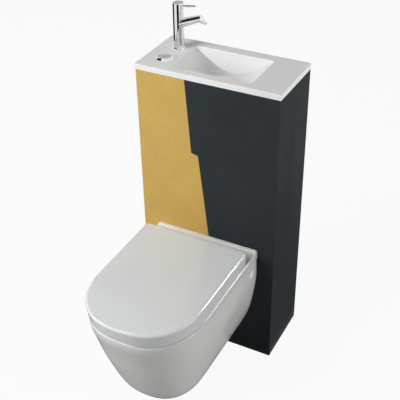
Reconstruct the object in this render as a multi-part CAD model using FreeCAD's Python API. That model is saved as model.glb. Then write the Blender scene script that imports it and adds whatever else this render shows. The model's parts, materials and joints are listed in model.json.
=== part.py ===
"""Combined toilet and basin unit: a wall-hung toilet on a boxed-in support frame, with a hand basin,
mixer tap and flush button on top.

Millimetres, +Z up, +X to the right seen from the front, the wall towards +Y.
Shapes are built with Y = 0 at the front face of the cabinet's front board and Z = 0 on the floor, then
moved along Y so that the origin lies on the floor under the middle of the whole unit.
"""

import FreeCAD, Part

import math
import os

V = FreeCAD.Vector

# Cabinet
CABINET_WIDTH = 460.0
CABINET_DEPTH = 222.5
BOARD = 19.0
FACING = 1.0
DECK_TOP = 985.0
DECK_THICKNESS = 17.5
DECK_OVERHANG = 1.5
DECK_EDGE_ROUND = 2.0
SPLIT_TOP_X = -68.0
SPLIT_STEP_X = -50.0
SPLIT_STEP_WIDTH = 22.5
SPLIT_STEP_HEIGHT = 727.0
SPLIT_STEP_DROP = 5.0
SPLIT_FLOOR_X = 56.0
SPLIT_STEP_ROUND = 2.0

# Corner brackets that join the boards
ANGLE_LEG = 22.0
ANGLE_SHEET = 2.0
ANGLE_HEIGHT = 26.0
ANGLE_LEVELS = (80.0, 450.0, 820.0)
SCREW_RADIUS = 2.0
SCREW_DEPTH = 12.0
SCREW_HEAD_RADIUS = 4.0
SCREW_HEAD = 2.5

# Support frame
TUBE = 40.0
TUBE_WALL = 2.0
UPRIGHT_INSET = 46.0
UPRIGHT_FOOT = 60.0
FRAME_HEADROOM = 77.5
LOW_BAR = 90.0
STUD_PLATE = 6.0
STUD_PLATE_BELOW = 35.0
STUD_PLATE_ABOVE = 95.0
SHELF_WIDTH = 30.0
SHELF_SHEET = 6.0
FOOT_FIT = 0.25
FOOT_WALL = 2.5
FOOT_TUBE_TOP = 210.0
FOOT_PLATE = 6.0
FOOT_PLATE_WIDTH = 50.0
FOOT_PLATE_LENGTH = 100.0
FLOOR_BOLT_RADIUS = 5.5
FLOOR_BOLT_SETBACK = 24.0
WALL_BOLT_RADIUS = 4.5
WALL_BRACKET_SHEET = 4.0
WALL_BRACKET_HEIGHT = 30.0
WALL_BRACKET_BELOW_TOP = 40.0
CLAMP_SCREW_RADIUS = 4.0
CLAMP_SCREW_HEAD_RADIUS = 6.5
CLAMP_SCREW_HEAD = 6.0
CLAMP_SCREW_HEIGHT = 130.0

# Toilet connections
STUD_SPACING = 180.0
STUD_RADIUS = 6.0
STUD_HOLE_RADIUS = 7.0
STUD_TO_WASTE = 100.0
FLUSH_TO_WASTE = 135.0
WASTE_HEIGHT = 225.0
HORN_SETBACK = 45.0

# Toilet bowl
RIM_ABOVE_WASTE = 201.0
RIM_HALF_WIDTH = 177.0
RIM_PROJECTION = 528.0
BASE_BELOW_WASTE = 153.0
BASE_HALF_WIDTH = 73.0
FRONT_TAPER = 120.0
FRONT_SWELL = 1.25
BASE_ROUND = 42.0
BASE_ROUND_SHARE = 0.2
SIDE_SWELL = 2.3
PLAN_POWER = 2.4
NOSE_RATIO = 1.15
CERAMIC = 10.0
RIM_DEPTH = 22.0
RIM_ROUND = 6.0
WELL_HALF_WIDTH = 130.0
WELL_HALF_LENGTH = 165.0
WELL_FRONT_RIM = 49.0
WELL_FLOOR_BELOW_WASTE = 75.0
WELL_FLOOR_HALF_WIDTH = 46.0
WELL_FLOOR_HALF_LENGTH = 51.0
WELL_FLOOR_SHIFT = 15.0
UPSTAND_RISE = 6.0
UPSTAND_TOP = 7.0
UPSTAND_RAMP = 2.0
UPSTAND_ROUND = 9.0
WASTE_HORN_RADIUS = 48.0
TRAP_BORE = 32.0
TRAP_CREST = 60.0
TRAP_CREST_SETBACK = 104.0
TRAP_DIP_SETBACK = 85.0
FLUSH_HORN_RADIUS = 33.0
FUNNEL_BELOW_HORN = 2.0
FLUSH_SOCKET_RADIUS = 28.0
FLUSH_SOCKET_DEPTH = 40.0

# Seat, lid and their hinge
LID_HALF_WIDTH = 177.0
LID_PROJECTION = 538.0
LID_RISE = 52.0
LID_GAP = 4.0
LID_DRAFT = 2.5
LID_NOSE_DRAFT = 8.0
LID_BACK = 73.0
LID_WALL = 6.0
LID_PLATE = 8.0
LID_EDGE_ROUND = 8.0
LID_CORNER_ROUND = 16.0
SEAT_GAP = 4.0
SEAT_CLEARANCE = 2.5
SEAT_THICKNESS = 18.0
SEAT_EDGE_ROUND = 8.0
SEAT_HOLE_HALF_WIDTH = 112.0
SEAT_HOLE_HALF_LENGTH = 150.0
SEAT_FRONT_WIDTH = 72.5
HINGE_SETBACK = 82.0
HINGE_RISE = 16.0
HINGE_BOLT_SPACING = 155.0
HINGE_BOLT_RADIUS = 5.0
HINGE_HOLE_RADIUS = 7.0
HINGE_POST = 20.0
HINGE_PIN_RADIUS = 5.0
HINGE_RUNNING = 0.05
HINGE_SIDE_GAP = 1.5
KNUCKLE_LENGTH = 17.0
KNUCKLE_RADIUS = 10.0
LID_HEEL_DROP = 11.5
BUMPER_RADIUS = 8.0
BUMPER_REAR_INSET = 37.0
BUMPER_REAR_SETBACK = 200.0
BUMPER_FRONT_INSET = 55.0
BUMPER_FRONT_SETBACK = 99.0

# Hidden side fixing of the bowl
CAP_SETBACK = 41.0
CAP_BELOW_RIM = 61.0
CAP_RADIUS = 12.8
CAP_CLEARANCE = 0.4
CAP_RECESS = 2.0
CAP_DOME = 3.0
CAP_STEM_RADIUS = 6.0
SIDE_HOLE_RADIUS = 6.3
SIDE_SCREW_RADIUS = 4.0
BLOCK_WIDTH = 38.0
BLOCK_DEPTH = 58.0
BLOCK_MARGIN = 20.0

# Cistern
TANK_SIDE_ROOM = 36.0
TANK_FRAME_GAP = 5.0
TANK_WALL_ROOM = 23.5
TANK_LOW = 545.0
TANK_HEADROOM = 132.5
TANK_WALL = 4.0
TANK_ROUND = 14.0
TANK_LID = 6.0
TANK_LID_SKIRT = 12.0
TANK_LID_FIT = 0.3
TANK_LID_SHEET = 2.7
FLUSH_VALVE_RADIUS = 42.0
FLUSH_SHANK_RADIUS = 32.0
FLUSH_SHANK = 40.0
FLUSH_LIFT = 15.0
FLUSH_CAGE = 70.0
ACTUATOR_ROOM = 18.0
ACTUATOR_HEIGHT = 40.0
FILL_INSET = 60.0
FILL_SHANK_RADIUS = 10.0
FLOAT_RADIUS = 30.0
FLOAT_HEIGHT = 70.0
FLOAT_ROOM = 180.0
FLUSH_PIPE_RADIUS = 22.5
FLUSH_PIPE_WALL = 2.0
FLUSH_BEND = 60.0
WASTE_PIPE_RADIUS = 45.0
WASTE_PIPE_WALL = 4.0
WASTE_BEND = 70.0
SOIL_SPIGOT_END = 14.0
SOIL_SPIGOT = 60.0
INLET_RADIUS = 10.48
INLET_LENGTH = 20.0

# Basin
BASIN_LEFT_SPACE = 99.0
BASIN_RIGHT_SPACE = 98.0
BASIN_FRONT = 28.0
BASIN_BACK_SPACE = 35.5
BASIN_WALL = 8.0
BASIN_DRAIN_DEPTH = 62.0
BASIN_BACK_DEPTH = 54.0
BASIN_SKEW = 0.35
BASIN_EASE = 0.4
BASIN_BACK_LEAN = 0.3
BASIN_FRONT_LEAN = 0.15
HUMP_X = 52.0
HUMP_HALF_WIDTH = 38.0
HUMP_DEPTH = 15.0
DRAIN_X = 10.0
DRAIN_Y = 95.0
DRAIN_RADIUS = 20.0
DRAIN_FLANGE_RADIUS = 25.0
DRAIN_BOSS = 15.0

# Tap
TAP_INSET = 64.0
TAP_WALL_SPACE = 69.5
TAP_RADIUS = 16.5
TAP_HEIGHT = 142.0
TAP_HOLE_RADIUS = 16.0
TAP_SHANK_RADIUS = 15.0
TAP_SHANK = 50.0
TAP_BASE_RADIUS = 18.5
TAP_BASE = 4.0
HANDLE_ABOVE_PIVOT = 14.0
HANDLE_BALL = 22.0
HANDLE_GAP = 0.3
HANDLE_BORE = 13.0
LEVER_RADIUS = 3.0
LEVER_REACH = 59.0
LEVER_ABOVE_PIVOT = 3.0
LEVER_TILT = 8.5
SPINDLE_RADIUS = 7.95
SPINDLE_RUNNING = 0.05
SPINDLE_NECK = 4.5
TILT_PIN_RADIUS = 2.0
SPOUT_ROOT_RADIUS = 15.0
SPOUT_TIP_RADIUS = 9.4
SPOUT_RISE = 77.4
SPOUT_TILT = 20.7
SPOUT_LENGTH = 84.0
SPOUT_BORE = 6.4
SPOUT_END_WALL = 3.0
AERATOR_SETBACK = 13.0
AERATOR_RADIUS = 7.0
AERATOR_LENGTH = 27.5
AERATOR_LEAN = 70.0
NOZZLE_RADIUS = 5.4
NOZZLE_LENGTH = 9.0

# Flush button
BUTTON_INSET = 60.0
BUTTON_Y = 69.0
BUTTON_TURN = 25.0
BEZEL_RADIUS = 24.8
BEZEL_TOP_RADIUS = 20.0
BEZEL_HEIGHT = 4.5
BUTTON_RADIUS = 17.0
BUTTON_FIT = 0.3
BUTTON_SPLIT = 0.8
BUTTON_THICKNESS = 12.0
BUTTON_PROUD = 0.5
BUTTON_EDGE = 2.0
BEZEL_LIP = 1.2
HOUSING_RADIUS = 21.5
HOUSING_DEPTH = 60.0
HOUSING_FLOOR = 4.0
BUTTON_HOLE_RADIUS = 22.0

# Places worked out from the sizes above
BOARD_TOP = DECK_TOP - DECK_THICKNESS
HALF_CABINET = CABINET_WIDTH / 2
INSIDE = HALF_CABINET - BOARD
FACE = -FACING
RIM_FRONT = FACE - RIM_PROJECTION
LID_FRONT = FACE - LID_PROJECTION
FRAME_FRONT = BOARD
FRAME_BACK = BOARD + TUBE
UPRIGHT_X = INSIDE - UPRIGHT_INSET
UPRIGHT_TOP = BOARD_TOP - FRAME_HEADROOM
WALL_BRACKET_LOW = UPRIGHT_TOP - WALL_BRACKET_BELOW_TOP
MID_BAR = TANK_LOW - TUBE
STUD_HEIGHT = WASTE_HEIGHT + STUD_TO_WASTE
STUD_PLATE_LOW = STUD_HEIGHT - STUD_PLATE_BELOW
STUD_PLATE_HIGH = STUD_HEIGHT + STUD_PLATE_ABOVE
FLUSH_HEIGHT = WASTE_HEIGHT + FLUSH_TO_WASTE
STUD_X = STUD_SPACING / 2
HORN_END = FACE - HORN_SETBACK
RIM_HEIGHT = WASTE_HEIGHT + RIM_ABOVE_WASTE
RIM_UNDER = RIM_HEIGHT - RIM_DEPTH
BOWL_BASE = WASTE_HEIGHT - BASE_BELOW_WASTE
WELL_FLOOR = WASTE_HEIGHT - WELL_FLOOR_BELOW_WASTE
FUNNEL_LOW = FLUSH_HEIGHT - FLUSH_HORN_RADIUS - FUNNEL_BELOW_HORN
LID_TOP = RIM_HEIGHT + LID_RISE
HINGE_Y = FACE - HINGE_SETBACK
HINGE_Z = RIM_HEIGHT + HINGE_RISE
POST_X = HINGE_BOLT_SPACING / 2
CAP_Y = FACE - CAP_SETBACK
CAP_HEIGHT = RIM_HEIGHT - CAP_BELOW_RIM
CAP_RECESS_RADIUS = CAP_RADIUS + CAP_CLEARANCE
BLOCK_LOW = STUD_HEIGHT - BLOCK_MARGIN
BLOCK_HIGH = CAP_HEIGHT + BLOCK_MARGIN
WELL_Y = RIM_FRONT + WELL_FRONT_RIM + WELL_HALF_LENGTH
TANK_HALF_WIDTH = INSIDE - TANK_SIDE_ROOM
TANK_FRONT = FRAME_BACK + TANK_FRAME_GAP
TANK_BACK = CABINET_DEPTH - TANK_WALL_ROOM
TANK_TOP = BOARD_TOP - TANK_HEADROOM
TANK_FLOOR = TANK_LOW + TANK_WALL
TANK_Y = (TANK_FRONT + TANK_BACK) / 2
FILL_X = TANK_HALF_WIDTH - FILL_INSET
FLUSH_NUT_RADIUS = FLUSH_VALVE_RADIUS + 2.0
FILL_NUT_RADIUS = 1.8 * FILL_SHANK_RADIUS
SHELF_X = (FLUSH_NUT_RADIUS + FILL_X - FILL_NUT_RADIUS) / 2
FLOAT_TRAVEL = TANK_TOP - TANK_LOW - FLOAT_ROOM
BASIN_LEFT = BASIN_LEFT_SPACE - HALF_CABINET
BASIN_RIGHT = HALF_CABINET - BASIN_RIGHT_SPACE
BASIN_BACK = CABINET_DEPTH - BASIN_BACK_SPACE
BASIN_FLOOR = DECK_TOP - BASIN_DRAIN_DEPTH
DRAIN_SEAT = BASIN_FLOOR - 1.0
TAP_X = TAP_INSET - HALF_CABINET
TAP_Y = CABINET_DEPTH - TAP_WALL_SPACE
BUTTON_X = BUTTON_INSET - HALF_CABINET
PIVOT_Z = DECK_TOP + TAP_HEIGHT - HANDLE_ABOVE_PIVOT
UNIT_DEPTH = CABINET_DEPTH - LID_FRONT
SHIFT_Y = UNIT_DEPTH / 2 - CABINET_DEPTH


def box(x, y, z):
    """A box between pairs of x, y and z."""
    return Part.makeBox(x[1] - x[0], y[1] - y[0], z[1] - z[0], V(x[0], y[0], z[0]))


def rod(radius, start, end):
    """A round bar from one point to another."""
    start = V(*start)
    along = V(*end) - start
    return Part.makeCylinder(radius, along.Length, start, along)


def ring(outer, inner, start, end):
    """A round tube from one point to another."""
    return rod(outer, start, end).cut(rod(inner, start, end))


def joined(*shapes):
    """The shapes as one solid, without the seams between them."""
    whole = shapes[0]
    if len(shapes) > 1:
        whole = whole.fuse(list(shapes[1:]))
    return whole.removeSplitter()


def cut(shape, *tools):
    """The shape less the tools."""
    return shape.cut(list(tools))


def mirrored(shape):
    """The shape seen in a mirror across the unit's middle plane."""
    return shape.mirror(V(0, 0, 0), V(1, 0, 0))


def pair(shape):
    """The shape and its mirror image, as two solids."""
    return Part.makeCompound([shape, mirrored(shape)])


def moved(shape, x=0, y=0, z=0):
    """A copy of the shape, moved."""
    copy = shape.copy()
    copy.translate(V(x, y, z))
    return copy


def face_of(points):
    """A flat face with straight sides through the points."""
    return Part.Face(Part.makePolygon([V(*p) for p in points] + [V(*points[0])]))


def edges_where(shape, test):
    """The shape's edges whose centre and box pass a test."""
    return [e for e in shape.Edges if test(e.BoundBox)]


def upright_edge(b):
    """Is this the box of an edge that runs straight up?"""
    return b.XLength < 0.01 and b.YLength < 0.01


def d_wire(half_width, projection, back, z):
    """A closed D in plan: a straight back, straight sides and a full round nose."""
    nose = min(NOSE_RATIO * half_width, projection + back - 1.0)
    shoulder = -projection + nose
    steps = 14
    points = []
    for i in range(steps + 1):
        turn = math.pi * i / steps
        side = math.cos(turn)
        reach = math.sin(turn)
        x = half_width * math.copysign(abs(side) ** (2 / PLAN_POWER), side)
        y = shoulder - nose * abs(reach) ** (2 / PLAN_POWER)
        points.append(V(x, y, z))
    curve = Part.BSplineCurve()
    curve.interpolate(Points=points, InitialTangent=V(0, -1, 0), FinalTangent=V(0, 1, 0))
    right = V(half_width, back, z)
    left = V(-half_width, back, z)
    return Part.Wire([
        Part.LineSegment(left, right).toShape(),
        Part.LineSegment(right, points[0]).toShape(),
        curve.toShape(),
        Part.LineSegment(points[-1], left).toShape(),
    ])


def oval_wire(half_width, half_length, y, z):
    """A closed ellipse in plan, about the middle plane."""
    if half_length >= half_width:
        ellipse = Part.Ellipse(V(0, y + half_length, z), V(half_width, y, z), V(0, y, z))
    else:
        ellipse = Part.Ellipse(V(half_width, y, z), V(0, y + half_length, z), V(0, y, z))
    return Part.Wire([ellipse.toShape()])


def loft(wires):
    """A smooth solid through closed wires."""
    return Part.makeLoft(wires, True, False)


def bent_pipe(radius, start_y, end_z, bend, height, back_y):
    """A round bar that runs level from start_y, turns through a quarter bend and ends upright at end_z."""
    turn_up = 1.0 if end_z > height else -1.0
    level = rod(radius, (0, start_y, height), (0, back_y - bend, height))
    upright = rod(radius, (0, back_y, height + turn_up * bend), (0, back_y, end_z))
    circle = Part.Circle(V(0, back_y - bend, height), V(0, 1, 0), radius)
    disc = Part.Face(Part.Wire([circle.toShape()]))
    centre = V(0, back_y - bend, height + turn_up * bend)
    elbow = disc.revolve(centre, V(turn_up, 0, 0), 90)
    return joined(level, elbow, upright)


def wall_holes(near, far):
    """What passes through the front board: the waste, the flush pipe and the two studs."""
    tools = [
        rod(WASTE_HORN_RADIUS + 10, (0, near, WASTE_HEIGHT), (0, far, WASTE_HEIGHT)),
        rod(FLUSH_PIPE_RADIUS + 2.5, (0, near, FLUSH_HEIGHT), (0, far, FLUSH_HEIGHT)),
    ]
    for x in (-STUD_X, STUD_X):
        tools.append(rod(STUD_HOLE_RADIUS, (x, near, STUD_HEIGHT), (x, far, STUD_HEIGHT)))
    return tools


def angle_screws(extra=0.0):
    """Screws of the corner brackets on the right, as plain bars with heads, made fatter by extra."""
    inner = INSIDE
    found = []
    for level in ANGLE_LEVELS:
        middle = level + ANGLE_HEIGHT / 2
        y = BOARD + ANGLE_LEG * 0.6
        x = inner - ANGLE_LEG * 0.6
        seat_x = inner - ANGLE_SHEET
        shank = rod(SCREW_RADIUS + extra, (seat_x, y, middle), (inner + SCREW_DEPTH, y, middle))
        head = rod(SCREW_HEAD_RADIUS, (seat_x - SCREW_HEAD, y, middle), (seat_x, y, middle))
        found.append(shank if extra else joined(shank, head))
        seat_y = BOARD + ANGLE_SHEET
        shank = rod(SCREW_RADIUS + extra, (x, seat_y, middle), (x, BOARD - SCREW_DEPTH, middle))
        head = rod(SCREW_HEAD_RADIUS, (x, seat_y + SCREW_HEAD, middle), (x, seat_y, middle))
        found.append(shank if extra else joined(shank, head))
    return found


def cabinet():
    """The three boards, the dark facing wrapped over their right half, and what screws them together."""
    screw_holes = angle_screws(0.05)
    both_holes = screw_holes + [mirrored(h) for h in screw_holes]
    front = box((-HALF_CABINET, HALF_CABINET), (0, BOARD), (0, BOARD_TOP))
    front = cut(front, *wall_holes(-1, BOARD + 1), *both_holes)
    right = box((INSIDE, HALF_CABINET), (BOARD, CABINET_DEPTH), (0, BOARD_TOP))
    right = cut(right, *screw_holes)

    outer = HALF_CABINET + FACING
    step_low = SPLIT_STEP_HEIGHT - SPLIT_STEP_DROP
    outline = [
        (outer, FACE, BOARD_TOP),
        (SPLIT_TOP_X, FACE, BOARD_TOP),
        (SPLIT_STEP_X, FACE, SPLIT_STEP_HEIGHT),
        (SPLIT_STEP_X + SPLIT_STEP_WIDTH, FACE, step_low),
        (SPLIT_FLOOR_X, FACE, 0),
        (outer, FACE, 0),
    ]
    sheet = face_of(outline).extrude(V(0, FACING, 0))
    step_edges = edges_where(sheet, lambda b: b.YLength > FACING / 2 and step_low - 1 < b.ZMin
                             and b.ZMax < SPLIT_STEP_HEIGHT + 1 and b.ZLength < 0.01)
    sheet = sheet.makeFillet(SPLIT_STEP_ROUND, step_edges)
    cheek = box((HALF_CABINET, outer), (FACE, CABINET_DEPTH), (0, BOARD_TOP))
    facing = cut(joined(sheet, cheek), *wall_holes(FACE - 1, 1))

    inner = INSIDE
    brackets = []
    for level in ANGLE_LEVELS:
        height = (level, level + ANGLE_HEIGHT)
        side_leg = box((inner - ANGLE_SHEET, inner), (BOARD, BOARD + ANGLE_LEG), height)
        front_leg = box((inner - ANGLE_LEG, inner), (BOARD, BOARD + ANGLE_SHEET), height)
        brackets.append(cut(joined(side_leg, front_leg), *screw_holes))
    brackets += [mirrored(b) for b in brackets]
    screws = angle_screws()
    screws += [mirrored(s) for s in screws]
    return {
        "front_board": front,
        "side_board_right": right,
        "side_board_left": mirrored(right),
        "decor_facing": facing,
        "corner_brackets": Part.makeCompound(brackets),
        "bracket_screws": Part.makeCompound(screws),
    }


def tube_bar(x, z):
    """A level square tube of the frame between two x, with its lower side at z."""
    wall = TUBE_WALL
    outside = box(x, (FRAME_FRONT, FRAME_BACK), (z, z + TUBE))
    inside = box(x, (FRAME_FRONT + wall, FRAME_BACK - wall), (z + wall, z + TUBE - wall))
    return outside.cut(inside)


def frame():
    """The welded steel frame with its feet, wall brackets and clamping screws."""
    left = UPRIGHT_X - TUBE / 2
    right = UPRIGHT_X + TUBE / 2
    inner = (left + TUBE_WALL, right - TUBE_WALL)
    post = box((left, right), (FRAME_FRONT, FRAME_BACK), (UPRIGHT_FOOT, UPRIGHT_TOP))
    post = post.cut(box(inner, (FRAME_FRONT + TUBE_WALL, FRAME_BACK - TUBE_WALL),
                        (UPRIGHT_FOOT, UPRIGHT_TOP - TUBE_WALL)))
    bolt_z = WALL_BRACKET_LOW + WALL_BRACKET_HEIGHT / 2
    screw_holes = [
        rod(CLAMP_SCREW_RADIUS + 0.05, (UPRIGHT_X, FRAME_BACK - TUBE_WALL, z), (UPRIGHT_X, FRAME_BACK, z))
        for z in (CLAMP_SCREW_HEIGHT, bolt_z)
    ]
    post = cut(post, *screw_holes)
    bars = [tube_bar((-left, left), z) for z in (LOW_BAR, MID_BAR, UPRIGHT_TOP - TUBE)]
    plate = box((-left, left), (FRAME_FRONT, FRAME_FRONT + STUD_PLATE), (STUD_PLATE_LOW, STUD_PLATE_HIGH))
    plate = cut(plate, *wall_holes(FRAME_FRONT - 1, FRAME_FRONT + STUD_PLATE + 1))
    shelf_x = (SHELF_X - SHELF_WIDTH / 2, SHELF_X + SHELF_WIDTH / 2)
    shelf = box(shelf_x, (FRAME_BACK, TANK_BACK - TANK_ROUND), (TANK_LOW - SHELF_SHEET, TANK_LOW))
    welded = joined(post, mirrored(post), *bars, plate, shelf, mirrored(shelf))

    slack = TUBE_WALL + FOOT_FIT
    foot_x = (left + slack, right - slack)
    foot_y = (FRAME_FRONT + slack, FRAME_BACK - slack)
    leg = box(foot_x, foot_y, (FOOT_PLATE, FOOT_TUBE_TOP))
    leg = leg.cut(box((foot_x[0] + FOOT_WALL, foot_x[1] - FOOT_WALL),
                      (foot_y[0] + FOOT_WALL, foot_y[1] - FOOT_WALL), (FOOT_PLATE, FOOT_TUBE_TOP)))
    plate_end = FRAME_FRONT + FOOT_PLATE_LENGTH
    sole = box((UPRIGHT_X - FOOT_PLATE_WIDTH / 2, UPRIGHT_X + FOOT_PLATE_WIDTH / 2),
               (FRAME_FRONT, plate_end), (0, FOOT_PLATE))
    bolt_y = plate_end - FLOOR_BOLT_SETBACK
    sole = sole.cut(rod(FLOOR_BOLT_RADIUS, (UPRIGHT_X, bolt_y, -1), (UPRIGHT_X, bolt_y, FOOT_PLATE + 1)))
    foot = joined(leg, sole)

    sheet = WALL_BRACKET_SHEET
    height = (WALL_BRACKET_LOW, WALL_BRACKET_LOW + WALL_BRACKET_HEIGHT)
    near_flange = box((left, right), (FRAME_BACK, FRAME_BACK + sheet), height)
    strap = box((right - sheet, right), (FRAME_BACK, CABINET_DEPTH), height)
    far_flange = box((left, right), (CABINET_DEPTH - sheet, CABINET_DEPTH), height)

    def at_bolt(y):
        return (UPRIGHT_X, y, bolt_z)

    bracket = cut(
        joined(near_flange, strap, far_flange),
        rod(WALL_BOLT_RADIUS, at_bolt(CABINET_DEPTH - sheet), at_bolt(CABINET_DEPTH)),
        rod(CLAMP_SCREW_RADIUS + 0.05, at_bolt(FRAME_BACK), at_bolt(FRAME_BACK + sheet)),
    )

    screws = []
    for z, seat in ((CLAMP_SCREW_HEIGHT, FRAME_BACK), (bolt_z, FRAME_BACK + sheet)):
        tip = foot_y[1] if seat == FRAME_BACK else FRAME_BACK - TUBE_WALL
        shank = rod(CLAMP_SCREW_RADIUS, (UPRIGHT_X, tip, z), (UPRIGHT_X, seat, z))
        hexagon = face_of([
            (UPRIGHT_X + CLAMP_SCREW_HEAD_RADIUS * math.cos(math.radians(60 * i)), seat,
             z + CLAMP_SCREW_HEAD_RADIUS * math.sin(math.radians(60 * i)))
            for i in range(6)
        ])
        screws.append(joined(shank, hexagon.extrude(V(0, CLAMP_SCREW_HEAD, 0))))
    screws += [mirrored(s) for s in screws]
    return {
        "support_frame": welded,
        "frame_feet": pair(foot),
        "wall_brackets": pair(bracket),
        "frame_screws": Part.makeCompound(screws),
    }


def bowl_section(share, inset, back):
    """The toilet's outline in plan at a share of its height from base to rim, taken in by inset."""
    z = BOWL_BASE + share * (RIM_HEIGHT - BOWL_BASE)
    swell = math.sqrt(1 - (1 - share) ** SIDE_SWELL)
    half_width = BASE_HALF_WIDTH + (RIM_HALF_WIDTH - BASE_HALF_WIDTH) * swell
    reach = RIM_PROJECTION - FRONT_TAPER * (1 - share) ** FRONT_SWELL
    into_round = max(0.0, 1 - share / BASE_ROUND_SHARE)
    reach -= BASE_ROUND * (1 - math.sqrt(1 - into_round ** 2))
    return d_wire(half_width - inset, reach - FACE - inset, back, z)


def well(inset):
    """The space inside the toilet bowl, made larger by inset."""
    depth = RIM_HEIGHT - WELL_FLOOR
    wires = []
    for share in (0.0, 0.15, 0.3, 0.5, 0.7, 0.85, 1.0):
        bulge = (1 + math.cos(math.pi * share)) / 2
        half_width = WELL_FLOOR_HALF_WIDTH + (WELL_HALF_WIDTH - WELL_FLOOR_HALF_WIDTH) * bulge
        half_length = WELL_FLOOR_HALF_LENGTH + (WELL_HALF_LENGTH - WELL_FLOOR_HALF_LENGTH) * bulge
        y = WELL_Y + WELL_FLOOR_SHIFT * share
        z = RIM_HEIGHT - share * (depth + inset)
        wires.append(oval_wire(half_width + inset, half_length + inset, y, z))
    return loft(wires)


def passage(points, radius):
    """A round way through the points, with rounded turns."""
    shapes = []
    for start, end in zip(points, points[1:]):
        shapes.append(rod(radius, start, end))
        shapes.append(Part.makeSphere(radius, V(*end)))
    return joined(*shapes)


def bowl():
    """The ceramic toilet: an outer bowl with its skirt and rim, and the well and the trap inside it."""
    shares = (0.0, 0.04, 0.1, 0.2, 0.35, 0.55, 0.78, 1.0)
    outside = loft([bowl_section(s, 0, FACE) for s in shares])
    rim_edge = edges_where(outside, lambda b: b.ZMin > RIM_HEIGHT - 0.01 and b.YLength > 1)
    outside = outside.makeFillet(RIM_ROUND, rim_edge)
    skirt = loft([bowl_section(s, CERAMIC, FACE + CERAMIC) for s in shares])
    hollow = skirt.common(box((-RIM_HALF_WIDTH, RIM_HALF_WIDTH), (RIM_FRONT, FACE + CERAMIC),
                              (BOWL_BASE + CERAMIC, RIM_UNDER)))
    inside = well(0)
    room = (-RIM_HALF_WIDTH, RIM_HALF_WIDTH), (RIM_FRONT, FACE)
    funnel = well(CERAMIC).common(box(*room, (FUNNEL_LOW, RIM_UNDER)))
    cup_block = well(CERAMIC).common(box(*room, (BOWL_BASE, FUNNEL_LOW)))

    sump_y = WELL_Y + WELL_FLOOR_SHIFT
    way_out = [
        (0, sump_y, WELL_FLOOR + TRAP_BORE + 2),
        (0, sump_y + TRAP_DIP_SETBACK, WELL_FLOOR + TRAP_BORE + 2),
        (0, HORN_END - TRAP_CREST_SETBACK, WASTE_HEIGHT + TRAP_CREST),
        (0, HORN_END - HORN_SETBACK, WASTE_HEIGHT),
    ]
    trap = passage(way_out, TRAP_BORE + CERAMIC)
    trap_bore = passage(way_out, TRAP_BORE)
    horn = rod(WASTE_HORN_RADIUS, way_out[-1], (0, HORN_END, WASTE_HEIGHT))
    horn_bore = rod(WASTE_HORN_RADIUS - CERAMIC, way_out[-1], (0, HORN_END + 1, WASTE_HEIGHT))

    feed_end = WELL_Y + WELL_HALF_LENGTH - CERAMIC
    feed = rod(FLUSH_HORN_RADIUS, (0, feed_end, FLUSH_HEIGHT), (0, HORN_END, FLUSH_HEIGHT))
    socket = rod(FLUSH_SOCKET_RADIUS, (0, HORN_END - FLUSH_SOCKET_DEPTH, FLUSH_HEIGHT),
                 (0, HORN_END + 1, FLUSH_HEIGHT))
    feed_bore = rod(FLUSH_PIPE_RADIUS - FLUSH_PIPE_WALL, (0, feed_end - CERAMIC, FLUSH_HEIGHT),
                    (0, HORN_END, FLUSH_HEIGHT))

    top = RIM_HEIGHT + UPSTAND_RISE
    ramp = UPSTAND_TOP + UPSTAND_RAMP
    upstand = face_of([
        (-RIM_HALF_WIDTH, FACE, RIM_UNDER),
        (-RIM_HALF_WIDTH, FACE, top),
        (-RIM_HALF_WIDTH, FACE - UPSTAND_TOP, top),
        (-RIM_HALF_WIDTH, FACE - ramp, RIM_HEIGHT),
        (-RIM_HALF_WIDTH, FACE - ramp, RIM_UNDER),
    ]).extrude(V(2 * RIM_HALF_WIDTH, 0, 0))
    upstand = upstand.makeFillet(UPSTAND_ROUND, edges_where(
        upstand, lambda b: b.ZMin > top - 0.01 and b.XLength < 0.01))

    shell = joined(outside.cut(hollow), upstand).cut(inside)
    funnel = joined(funnel, feed).cut(trap)
    for way in (inside, socket, feed_bore):
        funnel = funnel.cut(way)
    cup = cup_block.cut(inside).cut(trap_bore)
    outlet = joined(trap, horn).cut(cup_block)
    for way in (trap_bore, horn_bore):
        outlet = outlet.cut(way)

    holes = []
    for x in (-POST_X, POST_X):
        holes.append(rod(HINGE_HOLE_RADIUS, (x, HINGE_Y, RIM_UNDER - 1), (x, HINGE_Y, RIM_HEIGHT + 1)))
    seat_x = cap_seat_x()
    for side in (-1, 1):
        outer = side * (RIM_HALF_WIDTH + CERAMIC)
        holes.append(rod(CAP_RECESS_RADIUS, (side * seat_x, CAP_Y, CAP_HEIGHT), (outer, CAP_Y, CAP_HEIGHT)))
        inner = side * (RIM_HALF_WIDTH - 3 * CERAMIC)
        holes.append(rod(SIDE_HOLE_RADIUS, (inner, CAP_Y, CAP_HEIGHT), (outer, CAP_Y, CAP_HEIGHT)))
    return {
        "toilet_bowl": cut(shell, *holes),
        "toilet_well": funnel,
        "toilet_sump": cup,
        "toilet_trap": outlet,
    }


def cap_seat_x():
    """How far out the flat seat of a side cap lies."""
    share = (CAP_HEIGHT - BOWL_BASE) / (RIM_HEIGHT - BOWL_BASE)
    swell = math.sqrt(1 - (1 - share) ** SIDE_SWELL)
    return BASE_HALF_WIDTH + (RIM_HALF_WIDTH - BASE_HALF_WIDTH) * swell - CAP_RECESS


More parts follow.
